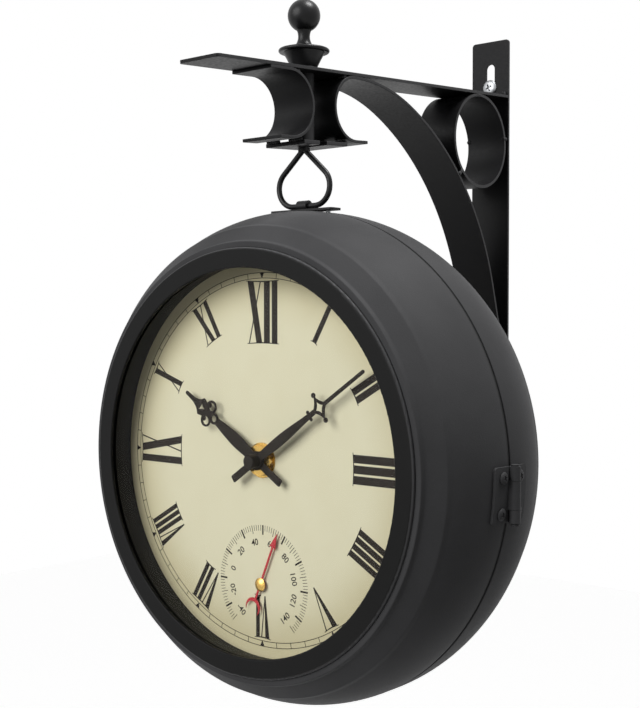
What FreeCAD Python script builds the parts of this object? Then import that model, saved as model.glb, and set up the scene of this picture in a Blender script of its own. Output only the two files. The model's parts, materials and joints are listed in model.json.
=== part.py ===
import FreeCAD, Part
import math
import os

# Double sided station clock hung from a welded strap bracket.
# Frame: X right as one faces the wall, Y towards the wall, Z up, all in millimetres.
# Origin: centre of the wall plate's back face, so the wall is the plane Y = 0.
# Each dial side is drawn in its own frame: outward from the dial is -Y, the origin is on
# the case's middle plane at the height of the dials, and the rear side is turned half round.

V = FreeCAD.Vector
X_AXIS = V(1, 0, 0)
Y_AXIS = V(0, 1, 0)
Z_AXIS = V(0, 0, 1)

# ---- shared clearances ----
running_gap = 0.05          # radial, every turning shaft in its bore
seat_gap = 0.1              # paint and fitting room between pieces of one assembly
moving_gap = 0.4            # between pieces that pass each other

# ---- strap bracket ----
strap_width = 25.4
strap_thickness = 1.6
plate_length = 240.0
plate_corner = 2.0
slot_width = 6.0
slot_length = 16.0
slot_margin = 13.5          # end of the plate to the near end of its slot
bar_below_top = 33.2        # top of the plate to the top of the arm, at the plate
arm_droop = 3.6             # degrees that the arm falls away from the wall
axis_to_wall = 172.0
arm_nose = 73.0             # the arm's free end beyond the swivel axis
weld_leg = 2.5
ring_radius = 27.0
ring_to_plate = 2.7
tack_radius = 1.6
scroll_height = 33.7        # underside of the arm to the top of the lower plate
scroll_waist = 15.2         # between the two scrolls where they come closest
scroll_flange = 8.6         # straight foot of each scroll
nose_flange = 13.7          # straight top of the outer scroll, welded under the arm
brace_upper_radius = 104.0
brace_upper_turn = 27.3
brace_lower_radius = 147.0
brace_lower_turn = 50.0
lower_plate_length = 33.0
lower_plate_thickness = 2.0

# ---- swivel and hanging loop ----
rod_diameter = 5.0
sleeve_diameter = 10.0
sleeve_proud = 0.8          # sleeve above the arm, so that the washer clears the slope
washer_diameter = 12.5
washer_thickness = 0.8
cup_foot_radius = 6.5
cup_top_radius = 10.3
cup_rim_radius = 12.7
cup_height = 7.4
rim_thickness = 1.9
cup_crown = 1.1
cup_flare = 0.15            # hollow of the cup's side
neck_radius = 2.6
neck_foot_radius = 4.2
neck_height = 8.1
ball_diameter = 16.2
rod_into_ball = 3.0
wire_diameter = 2.8
loop_half_width = 16.6      # to the wire's centre
loop_bend = 9.4
loop_height = 28.85         # top of the head to the centre of the wire at the bottom
head_diameter = 6.0
head_length = 1.8

# ---- case ----
case_radius = 120.9
case_wall = 1.2
band_half = 4.5             # the straight band each side of the middle plane
valley_fall = 8.4           # the skin's fall from the band to the crease before the shoulder
valley_depth = 35.5
shoulder_fall = 16.1        # from the band to the shoulder
shoulder_depth = 44.2
shoulder_bow = 0.3
mouth_depth = 46.3
seam_depth = 2.7            # the seam lies this far towards the front of the middle plane
seam_gap = 1.2
spigot_length = 5.0
seal_width = 0.7

# ---- bezel, glass and dial ----
bezel_depth = 47.4
bezel_inset = 19.5          # bezel's outside within the case's radius
bezel_face = 9.6            # from the bezel's outside to its lip
bezel_lip_round = 0.7
bezel_edge_round = 1.1
bezel_flange = 1.6
bezel_skirt = 1.4
bezel_skirt_length = 8.0
glass_thickness = 2.0
glass_seal_thickness = 0.5
dial_depth = 30.4
dial_thickness = 0.8
spacer_inset = 0.6          # top of the spacer behind the bezel's lip
spacer_flare = 3.0
spacer_wall = 1.5
dial_ledge = 12.0

# ---- movement, hands ----
movement_size = 56.0
movement_thickness = 15.5
movement_corner = 4.0
bush_radius = 4.0
bush_length = 3.2           # in front of the dial
hour_tube_length = 7.6
hour_tube_radius = 2.5
arbor_radius = 1.5
nut_across_flats = 14.0
nut_thickness = 2.2
nut_washer_radius = 8.5
nut_washer_thickness = 0.6
battery_diameter = 14.2
battery_length = 49.2
battery_offset = -17.5
knob_radius = 7.0
knob_thickness = 3.0
knob_offset = 16.0
hour_hand_height = 3.8      # middle of the hour hand in front of the dial
minute_hand_height = 4.9
hand_thickness = 0.5
hour_hand_angle = 147.2     # from +X, anticlockwise as one looks at the dial
minute_hand_angle = 34.2
hour_hand_reach = 57.8
hour_hand_tail = 18.3
minute_hand_reach = 80.0
minute_hand_tail = 18.0
cap_radius = 3.3
cap_front = 10.0            # cap's face in front of the dial

# ---- thermometer ----
gauge_drop = 60.0           # below the dial's centre
pointer_angle = 67.0
pointer_reach = 28.0
pointer_height = 1.3
pointer_thickness = 0.4
pivot_radius = 1.0
pivot_cap_radius = 3.25
pivot_cap_height = 1.1
cup_radius = 22.0
cup_depth = 6.0
cup_wall = 1.0
coil_turns = 7              # half turns
coil_inner_radius = 2.6
coil_pitch = 2.2
coil_strip = 0.5
coil_width = 3.0

# ---- hinge and catch ----
hinge_stand = 2.9           # hinge axis outside the case's radius
knuckle_radius = 2.5
hinge_pin_radius = 1.1
leaf_thickness = 1.2
leaf_width = 11.7
hinge_top = 4.2
knuckle_split_high = -2.0
knuckle_split_low = -14.7
hinge_bottom = -20.5
hinge_screw_depth = 6.5     # from the hinge axis along the leaf
hinge_screw_heights = (-0.6, -16.2)
screw_shank_radius = 1.2
screw_head_radius = 2.8
screw_head_height = 1.1
screw_length = 4.5
magnet_radius = 4.0
magnet_length = 6.0
magnet_rim_inset = 11.0     # magnet's centre inside the case's radius
strike_gap = 0.6            # strike's foot inside the curving skin

# ---- tab that hangs the case ----
tab_half_length = 20.3
tab_thickness = 1.1
tab_front = -3.4            # the tab's front edge ahead of the middle plane
tab_depth = 8.6
eye_play = 0.3              # between the wire and the eye
eye_width = 6.4
tab_screw_spacing = 26.0
tab_screw_radius = 1.2
tab_screw_y = 3.1
tab_head_radius = 2.1
tab_head_height = 1.6

# ---- places that follow ----
plate_front = -strap_thickness
plate_top = plate_length / 2
droop = math.radians(arm_droop)
axis_y = -axis_to_wall
arm_reach = axis_to_wall - strap_thickness
bar_top = plate_top - bar_below_top - arm_reach * math.tan(droop)
scroll_radius = scroll_height / 2
scroll_centre = scroll_waist / 2 + scroll_radius
lower_plate_under = strap_thickness + scroll_height + lower_plate_thickness
loop_head_top = bar_top - lower_plate_under / math.cos(droop) - moving_gap
wire_radius = wire_diameter / 2
loop_bottom = loop_head_top - loop_height
eye_bore_radius = wire_radius + eye_play
eye_outer_radius = eye_bore_radius + tab_thickness
dial_centre = loop_bottom - eye_outer_radius - seat_gap - case_radius
rod_radius = rod_diameter / 2
pivot_bore = rod_radius + running_gap
dial_back = dial_depth - dial_thickness
hinge_depth = seam_depth + seam_gap / 2
inner_radius = case_radius - case_wall
valley_radius = case_radius - valley_fall
shoulder_radius = case_radius - shoulder_fall
bezel_outer_radius = case_radius - bezel_inset
bezel_lip_radius = bezel_outer_radius - bezel_face
spacer_top_radius = bezel_lip_radius + spacer_inset
spacer_foot_radius = spacer_top_radius + spacer_flare
hinge_axis_x = case_radius + hinge_stand


# ---- small helpers ----
def cylinder(radius, length, base, axis):
    return Part.makeCylinder(radius, length, base, axis)


def tube(outer, bore, length, base, axis):
    return cylinder(outer, length, base, axis).cut(cylinder(bore, length, base, axis))


def box(x0, x1, y0, y1, z0, z1):
    return Part.makeBox(x1 - x0, y1 - y0, z1 - z0, V(x0, y0, z0))


def face_of(points):
    return Part.Face(Part.makePolygon(list(points) + [points[0]]))


def wire_of(edges):
    return Part.Wire(edges)


def line(start, end):
    return Part.LineSegment(start, end).toShape()


def arc(start, middle, end):
    return Part.Arc(start, middle, end).toShape()


def spin(face, axis_point, axis):
    return face.revolve(axis_point, axis, 360)


def dial_ring(points):
    """Ring turned about the dial's axis from (radius, depth) corners."""
    return spin(face_of([V(r, -d, 0) for r, d in points]), V(0, 0, 0), Y_AXIS)


def save(shape, node):
    shape.exportStep("parts/%s.step" % node)


def group(shapes):
    return Part.makeCompound(shapes)


# ---- strap bracket, drawn along the arm: s towards the wall, t square to the arm ----
def arm_point(s, t, x=0.0):
    y = axis_y + s * math.cos(droop) - t * math.sin(droop)
    z = bar_top + s * math.sin(droop) + t * math.cos(droop)
    return V(x, y, z)


def strap(edges_near, edges_far, end_near, end_far):
    """Strap of the full width whose edge view is closed by two ends."""
    outline = wire_of(edges_near + [end_far] + edges_far + [end_near])
    return Part.Face(outline).extrude(V(strap_width, 0, 0))


def polar(centre, radius, degrees):
    """Point of the arm's edge view at an angle measured from square-up towards the wall."""
    turn = math.radians(degrees)
    return arm_point(centre[0] + radius * math.sin(turn), centre[1] + radius * math.cos(turn),
                     -strap_width / 2)


def bend(centre, radius, start, end):
    return arc(polar(centre, radius, start), polar(centre, radius, (start + end) / 2),
               polar(centre, radius, end))


def ahead_of_plate(shape):
    return shape.cut(box(-strap_width, strap_width, plate_front, axis_to_wall,
                         -plate_length, plate_length))


def wall_plate():
    plate = box(-strap_width / 2, strap_width / 2, plate_front, 0, -plate_top, plate_top)
    corners = [e for e in plate.Edges if abs(e.tangentAt(e.FirstParameter).y) > 0.9]
    plate = plate.makeFillet(plate_corner, corners)
    for way in (1, -1):
        centre = way * (plate_top - slot_margin - slot_length / 2)
        half = (slot_length - slot_width) / 2
        slot = box(-slot_width / 2, slot_width / 2, plate_front, 0, centre - half, centre + half)
        for end in (-half, half):
            base = V(0, plate_front, centre + end)
            round_end = cylinder(slot_width / 2, strap_thickness, base, Y_AXIS)
            slot = slot.fuse(round_end)
        plate = plate.cut(slot)
    return plate.removeSplitter()


def top_bar():
    near = -strap_width / 2
    corners = [(-arm_nose, 0), (arm_reach + 5, 0), (arm_reach + 5, -strap_thickness),
               (-arm_nose, -strap_thickness)]
    bar = face_of([arm_point(s, t, near) for s, t in corners]).extrude(V(strap_width, 0, 0))
    nose_edges = [e for e in bar.Edges if e.Length < strap_thickness * 1.01
                  and e.CenterOfMass.y < axis_y]
    bar = bar.makeFillet(plate_corner, nose_edges)
    bar = bar.cut(cylinder(sleeve_diameter / 2, 20, V(0, axis_y, bar_top - 10), Z_AXIS))
    root = arm_reach / math.cos(droop)
    bead = face_of([arm_point(root - weld_leg, -0.2, near + weld_leg),
                    arm_point(root + 1, -0.2, near + weld_leg),
                    arm_point(root + 1, weld_leg, near + weld_leg),
                    arm_point(root, weld_leg, near + weld_leg)])
    bead = bead.extrude(V(strap_width - 2 * weld_leg, 0, 0))
    return ahead_of_plate(bar.fuse(bead)).removeSplitter()


def brace_strap():
    """One strap: foot, inner scroll, then the long brace that runs down to the wall plate."""
    scroll = (scroll_centre, -strap_thickness - scroll_radius)
    upper = (scroll_centre, -strap_thickness - brace_upper_radius)
    lower = brace_lower_centre()
    last = brace_upper_turn + brace_lower_turn
    outline = []
    for skin in (0, strap_thickness):
        foot = polar((scroll[0] + scroll_flange, scroll[1]), scroll_radius - skin, 180)
        sole = polar(scroll, scroll_radius - skin, 180)
        end = polar(lower, brace_lower_radius - skin, last)
        way = end - polar(lower, 0, last)
        down = V(0, way.z, -way.y) * (plate_top / way.Length)
        outline.append([line(foot, sole),
                        bend(scroll, scroll_radius - skin, -180, 0),
                        bend(upper, brace_upper_radius - skin, 0, brace_upper_turn),
                        bend(lower, brace_lower_radius - skin, brace_upper_turn, last),
                        line(end, end + down)])
    outer, inner = outline
    foot_end = line(inner[0].Vertexes[0].Point, outer[0].Vertexes[0].Point)
    wall_end = line(outer[-1].Vertexes[-1].Point, inner[-1].Vertexes[-1].Point)
    return ahead_of_plate(strap(outer, inner[::-1], foot_end, wall_end))


def nose_strap():
    """Outer scroll: welded under the arm, round towards the swivel and out again as a foot."""
    scroll = (-scroll_centre, -strap_thickness - scroll_radius)
    sides = []
    for skin in (0, strap_thickness):
        radius = scroll_radius - skin
        top = polar((scroll[0] - nose_flange, scroll[1]), radius, 0)
        foot = polar((scroll[0] - scroll_flange, scroll[1]), radius, 180)
        sides.append([line(top, polar(scroll, radius, 0)), bend(scroll, radius, 0, 180),
                      line(polar(scroll, radius, 180), foot)])
    outer, inner = sides
    top_end = line(inner[0].Vertexes[0].Point, outer[0].Vertexes[0].Point)
    foot_end = line(outer[-1].Vertexes[-1].Point, inner[-1].Vertexes[-1].Point)
    return strap(outer, inner[::-1], top_end, foot_end)


def ring_centre():
    """The ring touches the arm's underside and stands off the wall plate."""
    y = plate_front - ring_to_plate - ring_radius
    t = -strap_thickness - ring_radius
    s = (y - axis_y + t * math.sin(droop)) / math.cos(droop)
    return s, t


def brace_lower_centre():
    turn = math.radians(brace_upper_turn)
    step = brace_upper_radius - brace_lower_radius
    return (scroll_centre + step * math.sin(turn),
            -strap_thickness - brace_upper_radius + step * math.cos(turn))


def bracket_ring(brace):
    centre = arm_point(*ring_centre(), -strap_width / 2)
    hoop = tube(ring_radius, ring_radius - strap_thickness, strap_width, centre, X_AXIS)
    middle = arm_point(*ring_centre())
    to_brace = arm_point(*brace_lower_centre()) - middle
    brace_gap = to_brace.Length - brace_lower_radius - ring_radius
    tacks = []
    for way, gap in ((V(0, 1, 0), ring_to_plate), (to_brace.normalize(), brace_gap)):
        start = middle + way * (ring_radius - strap_thickness / 2)
        tacks.append(cylinder(tack_radius, gap + strap_thickness, start, way))
    hoop = hoop.multiFuse(tacks)
    return ahead_of_plate(hoop).cut(brace)


def lower_plate():
    half = lower_plate_length / 2
    top = -strap_thickness - scroll_height
    corners = [(-half, top), (half, top), (half, top - lower_plate_thickness),
               (-half, top - lower_plate_thickness)]
    plate = face_of([arm_point(s, t, -strap_width / 2) for s, t in corners])
    plate = plate.extrude(V(strap_width, 0, 0))
    depth = 3 * lower_plate_thickness
    low = bar_top - lower_plate_under - depth / 2
    plate = plate.cut(cylinder(pivot_bore, 2 * depth, V(0, axis_y, low), Z_AXIS))
    return plate.cut(box(0, strap_width, axis_y - pivot_bore, axis_y + pivot_bore, low, low + 2 * depth))


def pivot_sleeve(nose, brace, plate):
    """Tube that carries the rod, from the lower plate up through the arm, tacked to a scroll."""
    low = bar_top - lower_plate_under - sleeve_diameter
    base = V(0, axis_y, low)
    body = cylinder(sleeve_diameter / 2, bar_top + sleeve_proud - low, base, Z_AXIS)
    tack_at = arm_point(0, -strap_thickness - scroll_radius)
    tack = cylinder(tack_radius, scroll_waist / 2 + strap_thickness / 2, tack_at, V(0, -1, 0))
    body = body.fuse(tack)
    under = [arm_point(s, t, -strap_width) for s, t in
             ((-40, -strap_thickness - scroll_height), (40, -strap_thickness - scroll_height),
              (40, -80), (-40, -80))]
    body = body.cut(face_of(under).extrude(V(2 * strap_width, 0, 0)))
    body = body.cut(cylinder(pivot_bore, 2 * sleeve_diameter + 60, base, Z_AXIS))
    return body.cut(nose).cut(brace)


# ---- swivel, finial and loop ----
def washer_base():
    return bar_top + sleeve_proud


def cup_base():
    return washer_base() + washer_thickness


def pivot_washer():
    return tube(washer_diameter / 2, rod_radius + seat_gap, washer_thickness,
                V(0, axis_y, washer_base()), Z_AXIS)


def finial_cup():
    """Inverted bell with a rolled rim and a low crown."""
    low = cup_base()
    rim = low + cup_height
    top = rim + rim_thickness
    bore = rod_radius + seat_gap
    half = rim_thickness / 2

    def at(r, z):
        return V(r, axis_y, z)

    flare = arc(at(cup_foot_radius, low),
                at((cup_foot_radius + cup_top_radius) / 2 - cup_flare, low + cup_height / 2),
                at(cup_top_radius, rim))
    edge = arc(at(cup_rim_radius - half, rim), at(cup_rim_radius, rim + half),
               at(cup_rim_radius - half, top))
    crown = arc(at(cup_rim_radius - half, top),
                at((cup_rim_radius + neck_foot_radius) / 2, top + cup_crown * 0.75),
                at(neck_foot_radius, top + cup_crown))
    outline = [flare, line(at(cup_top_radius, rim), at(cup_rim_radius - half, rim)), edge, crown,
               line(at(neck_foot_radius, top + cup_crown), at(bore, top + cup_crown)),
               line(at(bore, top + cup_crown), at(bore, low)),
               line(at(bore, low), at(cup_foot_radius, low))]
    return spin(Part.Face(wire_of(outline)), V(0, axis_y, 0), Z_AXIS)


def neck_base():
    return cup_base() + cup_height + rim_thickness + cup_crown


def rod_top():
    return neck_base() + neck_height + rod_into_ball


def finial_ball():
    """Ball on a waisted neck, bored for the rod's end."""
    low = neck_base()
    radius = ball_diameter / 2
    drop = math.sqrt(radius ** 2 - (neck_radius + 1.0) ** 2)
    centre = low + neck_height + drop
    bore = rod_radius + seat_gap
    joint = low + neck_height

    def at(r, z):
        return V(r, axis_y, z)

    flank = arc(at(neck_foot_radius, low + 1.0), at(neck_radius + 0.4, low + neck_height * 0.5),
                at(neck_radius + 1.0, joint))
    start = math.atan2(-drop, neck_radius + 1.0)
    middle = (start + math.pi / 2) / 2
    ball = arc(at(neck_radius + 1.0, joint),
               at(radius * math.cos(middle), centre + radius * math.sin(middle)),
               at(0, centre + radius))
    outline = [line(at(bore, low), at(neck_foot_radius, low)),
               line(at(neck_foot_radius, low), at(neck_foot_radius, low + 1.0)),
               flank, ball,
               line(at(0, centre + radius), at(0, rod_top() + seat_gap)),
               line(at(0, rod_top() + seat_gap), at(bore, rod_top() + seat_gap)),
               line(at(bore, rod_top() + seat_gap), at(bore, low))]
    return spin(Part.Face(wire_of(outline)), V(0, axis_y, 0), Z_AXIS)


def swivel_rod():
    return cylinder(rod_radius, rod_top() - loop_head_top, V(0, axis_y, loop_head_top), Z_AXIS)


def hanging_loop():
    """Teardrop bent from wire, its two ends welded into a short round head."""
    flat = loop_half_width - loop_bend
    apex = V(wire_radius / 3, axis_y, loop_head_top - head_length / 2)
    centre = V(flat, axis_y, loop_bottom + loop_bend)
    rise, run = apex.z - centre.z, flat - apex.x
    turn = math.atan2(rise, -run) - math.acos(loop_bend / math.hypot(rise, run))
    shoulder = centre + V(math.cos(turn), 0, math.sin(turn)) * loop_bend
    low = centre - V(0, 0, loop_bend)
    section = Part.Face(Part.Wire(Part.makeCircle(wire_radius, low, X_AXIS)))
    corner = section.revolve(centre, V(0, -1, 0), 90 + math.degrees(turn))
    leg = cylinder(wire_radius, (apex - shoulder).Length, shoulder, apex - shoulder)
    bottom = cylinder(wire_radius, flat, V(0, axis_y, loop_bottom), X_AXIS)
    half = bottom.multiFuse([corner, leg])
    head = cylinder(head_diameter / 2, head_length, V(0, axis_y, loop_head_top - head_length), Z_AXIS)
    below = box(-2 * loop_half_width, 2 * loop_half_width, axis_y - head_diameter,
                axis_y + head_diameter, loop_bottom - wire_diameter, loop_head_top)
    loop = head.multiFuse([half, half.mirror(V(0, axis_y, 0), X_AXIS)])
    return loop.common(below).removeSplitter()


# ---- case shells ----
def skin_edges(start, shift):
    """Edge view of the shell's outside from a depth to its mouth, moved in by shift."""
    def at(r, d):
        return V(r, -d, 0)

    fall = case_radius - valley_radius
    run = valley_depth - band_half
    bow = (run ** 2 + fall ** 2) / (2 * fall)
    lean = math.atan2(shoulder_depth - valley_depth, valley_radius - shoulder_radius)
    mid_r = (valley_radius + shoulder_radius) / 2 + shoulder_bow * math.sin(lean)
    mid_d = (valley_depth + shoulder_depth) / 2 + shoulder_bow * math.cos(lean)
    centre_r = case_radius - bow
    tight = bow - shift
    inner_turn = math.asin((run - shift * 0.45) / tight)
    valley_in = at(centre_r + tight * math.cos(inner_turn), band_half + tight * math.sin(inner_turn))
    if shift == 0:
        valley_in = at(valley_radius, valley_depth)
        inner_turn = math.asin(run / bow)
    half_way = inner_turn / 2
    middle = at(centre_r + tight * math.cos(half_way), band_half + tight * math.sin(half_way))
    shoulder = at(shoulder_radius - shift * 0.55, shoulder_depth - shift)
    crest = at(mid_r - shift * math.cos(lean) * 0.9, mid_d - shift * math.sin(lean) * 1.2)
    return [line(at(case_radius - shift, start), at(case_radius - shift, band_half)),
            arc(at(case_radius - shift, band_half), middle, valley_in),
            arc(valley_in, crest, shoulder)]


def well_radius():
    return bezel_outer_radius + 0.2


def shell(start):
    """Pressed steel half case: bowed skin, bevelled mouth, and a well with a ledge for the dial."""
    def at(r, d):
        return V(r, -d, 0)

    outside = skin_edges(start, 0)
    inside = skin_edges(start, case_wall)
    well = well_radius()
    ledge = dial_back
    outer_end = outside[-1].Vertexes[-1].Point
    inner_end = inside[-1].Vertexes[-1].Point
    corners = [outer_end, at(well + 0.4, mouth_depth), at(well, mouth_depth), at(well, ledge),
               at(well - dial_ledge, ledge), at(well - dial_ledge, ledge - case_wall),
               at(well + case_wall, ledge - case_wall), at(well + case_wall, shoulder_depth - 1.6),
               inner_end]
    rim = [line(a, b) for a, b in zip(corners[:-1], corners[1:])]
    foot = line(inside[0].Vertexes[0].Point, outside[0].Vertexes[0].Point)
    profile = wire_of(outside + rim + inside[::-1] + [foot])
    return spin(Part.Face(profile), V(0, 0, 0), Y_AXIS)


def spigot():
    """Ring inside the rear shell's edge that guides the front shell as it closes."""
    outer = inner_radius - moving_gap
    inner = outer - case_wall
    tip = seam_depth + spigot_length
    return dial_ring([(inner, -1), (inner_radius + 0.3, -1), (inner_radius + 0.3, 1), (outer, 1),
                      (outer, tip - 0.8), (outer - 0.6, tip), (inner, tip)])


def on_side(shape, rear):
    """Move a piece from a dial side's own frame to its place."""
    placed = shape.copy()
    if rear:
        placed.rotate(V(0, 0, 0), Z_AXIS, 180)
    placed.translate(V(0, axis_y, dial_centre))
    return placed


def screw_drills(length, spare):
    """Four radial holes or shanks through the hinge leaves, in the front side's frame."""
    drills = []
    for side in (1, -1):
        depth = hinge_depth + side * hinge_screw_depth
        for height in hinge_screw_heights:
            angle = -math.degrees(math.asin(height / case_radius))
            drill = cylinder(screw_shank_radius + spare, length,
                             V(case_radius + leaf_thickness + seat_gap - length, 0, 0), X_AXIS)
            drill.rotate(V(0, 0, 0), Y_AXIS, angle)
            drill.translate(V(0, -depth, 0))
            drills.append(drill)
    return drills


def case_shells():
    """Both half cases in the front side's frame, drilled for the hinge and the hanging tab."""
    front = shell(seam_depth + seam_gap)
    rear = shell(-seam_depth)
    rear.rotate(V(0, 0, 0), Z_AXIS, 180)
    rear = rear.fuse(spigot())
    drills = screw_drills(20, seat_gap)
    front = front.cut(group(drills[:2]))
    rear = rear.cut(group(drills[2:] + tab_drills(seat_gap, 12)))
    return front, rear


# ---- hinge ----
def case_offset(distance):
    """Solid as large as the case's skin moved out by a distance, cut off behind the hinge."""
    rear = valley_depth
    points = [V(0, rear, 0), V(case_radius + distance, rear, 0),
              V(case_radius + distance, -band_half, 0)]
    fall = case_radius - valley_radius
    run = valley_depth - band_half
    bow = (run ** 2 + fall ** 2) / (2 * fall) + distance
    turn = math.asin(run / (bow - distance))
    centre = case_radius + distance - bow
    end = V(centre + bow * math.cos(turn), -band_half - bow * math.sin(turn), 0)
    middle = V(centre + bow * math.cos(turn / 2), -band_half - bow * math.sin(turn / 2), 0)
    edges = [line(points[0], points[1]), line(points[1], points[2]), arc(points[2], middle, end),
             line(end, V(0, end.y, 0)), line(V(0, end.y, 0), points[0])]
    return spin(Part.Face(wire_of(edges)), V(0, 0, 0), Y_AXIS)


def hinge_leaf(side, knuckles, others):
    """Leaf rolled to the case with its knuckles; side is 1 for the front leaf, -1 for the rear."""
    barrel = V(hinge_axis_x, -hinge_depth, 0)
    near = hinge_depth + side * 0.35
    far = hinge_depth + side * leaf_width
    y0, y1 = sorted((-near, -far))
    sheet = case_offset(seat_gap + leaf_thickness).cut(case_offset(seat_gap))
    leaf = sheet.common(box(0, 2 * case_radius, y0, y1, hinge_bottom, hinge_top))
    corners = [e for e in leaf.Edges if abs(e.CenterOfMass.y + far) < 0.01
               and abs(e.tangentAt((e.FirstParameter + e.LastParameter) / 2).x) > 0.9]
    leaf = leaf.makeFillet(1.5, corners)
    clear = knuckle_radius + 0.3
    for low, high in others:
        leaf = leaf.cut(cylinder(clear, high - low, V(barrel.x, barrel.y, low), Z_AXIS))
    ends = sorted((-near, -(hinge_depth + side * (knuckle_radius - 0.1))))
    for low, high in knuckles:
        web = box(case_radius / 2, barrel.x, ends[0], ends[1], low, high)
        knuckle = cylinder(knuckle_radius, high - low, V(barrel.x, barrel.y, low), Z_AXIS)
        leaf = leaf.fuse(web.cut(case_offset(seat_gap))).fuse(knuckle)
    bore = hinge_pin_radius + running_gap
    reach = 2 * (hinge_top - hinge_bottom)
    leaf = leaf.cut(cylinder(bore, reach, V(barrel.x, barrel.y, hinge_bottom - reach / 4), Z_AXIS))
    return leaf.cut(group(screw_drills(20, seat_gap)))


def hinge_pieces():
    gap = 0.15
    middle = [(knuckle_split_low + gap, knuckle_split_high - gap)]
    outer = [(knuckle_split_high, hinge_top), (hinge_bottom, knuckle_split_low)]
    wide = [(knuckle_split_low - 0.1, knuckle_split_high + 0.1)]
    tall = [(knuckle_split_high - gap, hinge_top + 1), (hinge_bottom - 1, knuckle_split_low + gap)]
    front = hinge_leaf(1, middle, tall)
    rear = hinge_leaf(-1, outer, wide)
    base = V(hinge_axis_x, -hinge_depth, hinge_bottom - 0.8)
    pin = cylinder(hinge_pin_radius, hinge_top - hinge_bottom + 1.6, base, Z_AXIS)
    for z in (base.z - 0.4, hinge_top + 0.1):
        pin = pin.fuse(cylinder(hinge_pin_radius + 0.7, 0.7, V(hinge_axis_x, -hinge_depth, z), Z_AXIS))
    return front, rear, pin


def hinge_screws(side):
    """Two round headed screws through one leaf and the shell."""
    depth = hinge_depth + side * hinge_screw_depth
    head_at = case_radius + seat_gap + leaf_thickness
    if side > 0:
        head_at -= 0.05         # the front leaf's screws stand where the skin begins to fall
    rise = (screw_head_radius ** 2 + screw_head_height ** 2) / (2 * screw_head_height)
    screws = []
    for height in hinge_screw_heights:
        dome = Part.makeSphere(rise, V(head_at - rise + screw_head_height, 0, 0))
        dome = dome.common(cylinder(rise, 2 * screw_head_height, V(head_at, 0, 0), X_AXIS))
        shank = cylinder(screw_shank_radius, screw_length, V(head_at - screw_length, 0, 0), X_AXIS)
        screw = dome.fuse(shank)
        screw.rotate(V(0, 0, 0), Y_AXIS, -math.degrees(math.asin(height / case_radius)))
        screw.translate(V(0, -depth, 0))
        screws.append(screw)
    return group(screws)


# ---- magnetic catch opposite the hinge ----
def closing_magnet():
    """Magnet glued inside the spigot, with its face level with the rear shell's edge."""
    seat = inner_radius - moving_gap - case_wall
    block = box(-seat - 1, -case_radius + magnet_rim_inset + magnet_radius + 1,
                -seam_depth + 0.2, -seam_depth + magnet_length, -magnet_radius - 1, magnet_radius + 1)
    return block.common(cylinder(seat, 40, V(0, -20, 0), Y_AXIS))


def magnet_strike():
    """Steel angle on the front shell that meets the magnet."""
    seat = inner_radius - moving_gap - case_wall - moving_gap
    reach = -case_radius + magnet_rim_inset + magnet_radius
    face = -seam_depth - 0.1
    tip = -(seam_depth + spigot_length + 1.0)
    pad = box(-seat, reach, face - case_wall, face, -magnet_radius, magnet_radius)
    pad = pad.common(cylinder(seat, 40, V(0, -20, 0), Y_AXIS))
    leg = box(-seat + 2.5, -seat + 2.5 + case_wall, tip - 1.5, face - case_wall,
              -magnet_radius, magnet_radius)
    foot = box(-inner_radius - 1, -seat + 2.5 + case_wall, tip - 1.5 - case_wall, tip - 1.5,
               -magnet_radius, magnet_radius)
    inside = cylinder(inner_radius - strike_gap, 2 * valley_depth, V(0, -valley_depth, 0), Y_AXIS)
    foot = foot.common(inside)
    return pad.fuse(leg).fuse(foot)


# ---- hanging tab ----
def tab_base():
    return case_radius + seat_gap


def tab_drills(spare, length):
    drills = []
    for side in (-1, 1):
        base = V(side * tab_screw_spacing / 2, tab_screw_y, tab_base() + tab_thickness - length)
        drills.append(cylinder(tab_screw_radius + spare, length, base, Z_AXIS))
    return drills


def hanger_tab():
    """Plate across the top of the rear shell with a folded eye for the loop's wire."""
    low = tab_base()
    plate = box(-tab_half_length, tab_half_length, tab_front, tab_front + tab_depth,
                low, low + tab_thickness)
    corners = [e for e in plate.Edges if abs(e.tangentAt(e.FirstParameter).z) > 0.9]
    plate = plate.makeFillet(plate_corner, corners)
    axis_z = low + eye_outer_radius
    base = V(-eye_width / 2, 0, axis_z)
    eye = tube(eye_outer_radius, eye_bore_radius, eye_width, base, X_AXIS)
    tab = plate.fuse(eye).cut(cylinder(eye_bore_radius, eye_width, base, X_AXIS))
    return tab.cut(group(tab_drills(seat_gap, 12)))


def tab_screws():
    """Two screws from inside the case into the tab."""
    screws = []
    for side in (-1, 1):
        x = side * tab_screw_spacing / 2
        top = tab_base() + tab_thickness
        under = math.sqrt(inner_radius ** 2 - (abs(x) + tab_head_radius) ** 2) - 0.2
        shank = cylinder(tab_screw_radius, top - under + 0.5, V(x, tab_screw_y, under - 0.5), Z_AXIS)
        base = V(x, tab_screw_y, under - tab_head_height)
        head = cylinder(tab_head_radius, tab_head_height, base, Z_AXIS)
        screws.append(head.fuse(shank))
    return group(screws)


def case_seal():
    """Rubber ring on the rear shell's edge, set back in the seam."""
    outer = case_radius - 0.3
    return dial_ring([(outer - seal_width, seam_depth), (outer, seam_depth),
                      (outer, seam_depth + seam_gap - 0.05),
                      (outer - seal_width, seam_depth + seam_gap - 0.05)])


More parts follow.
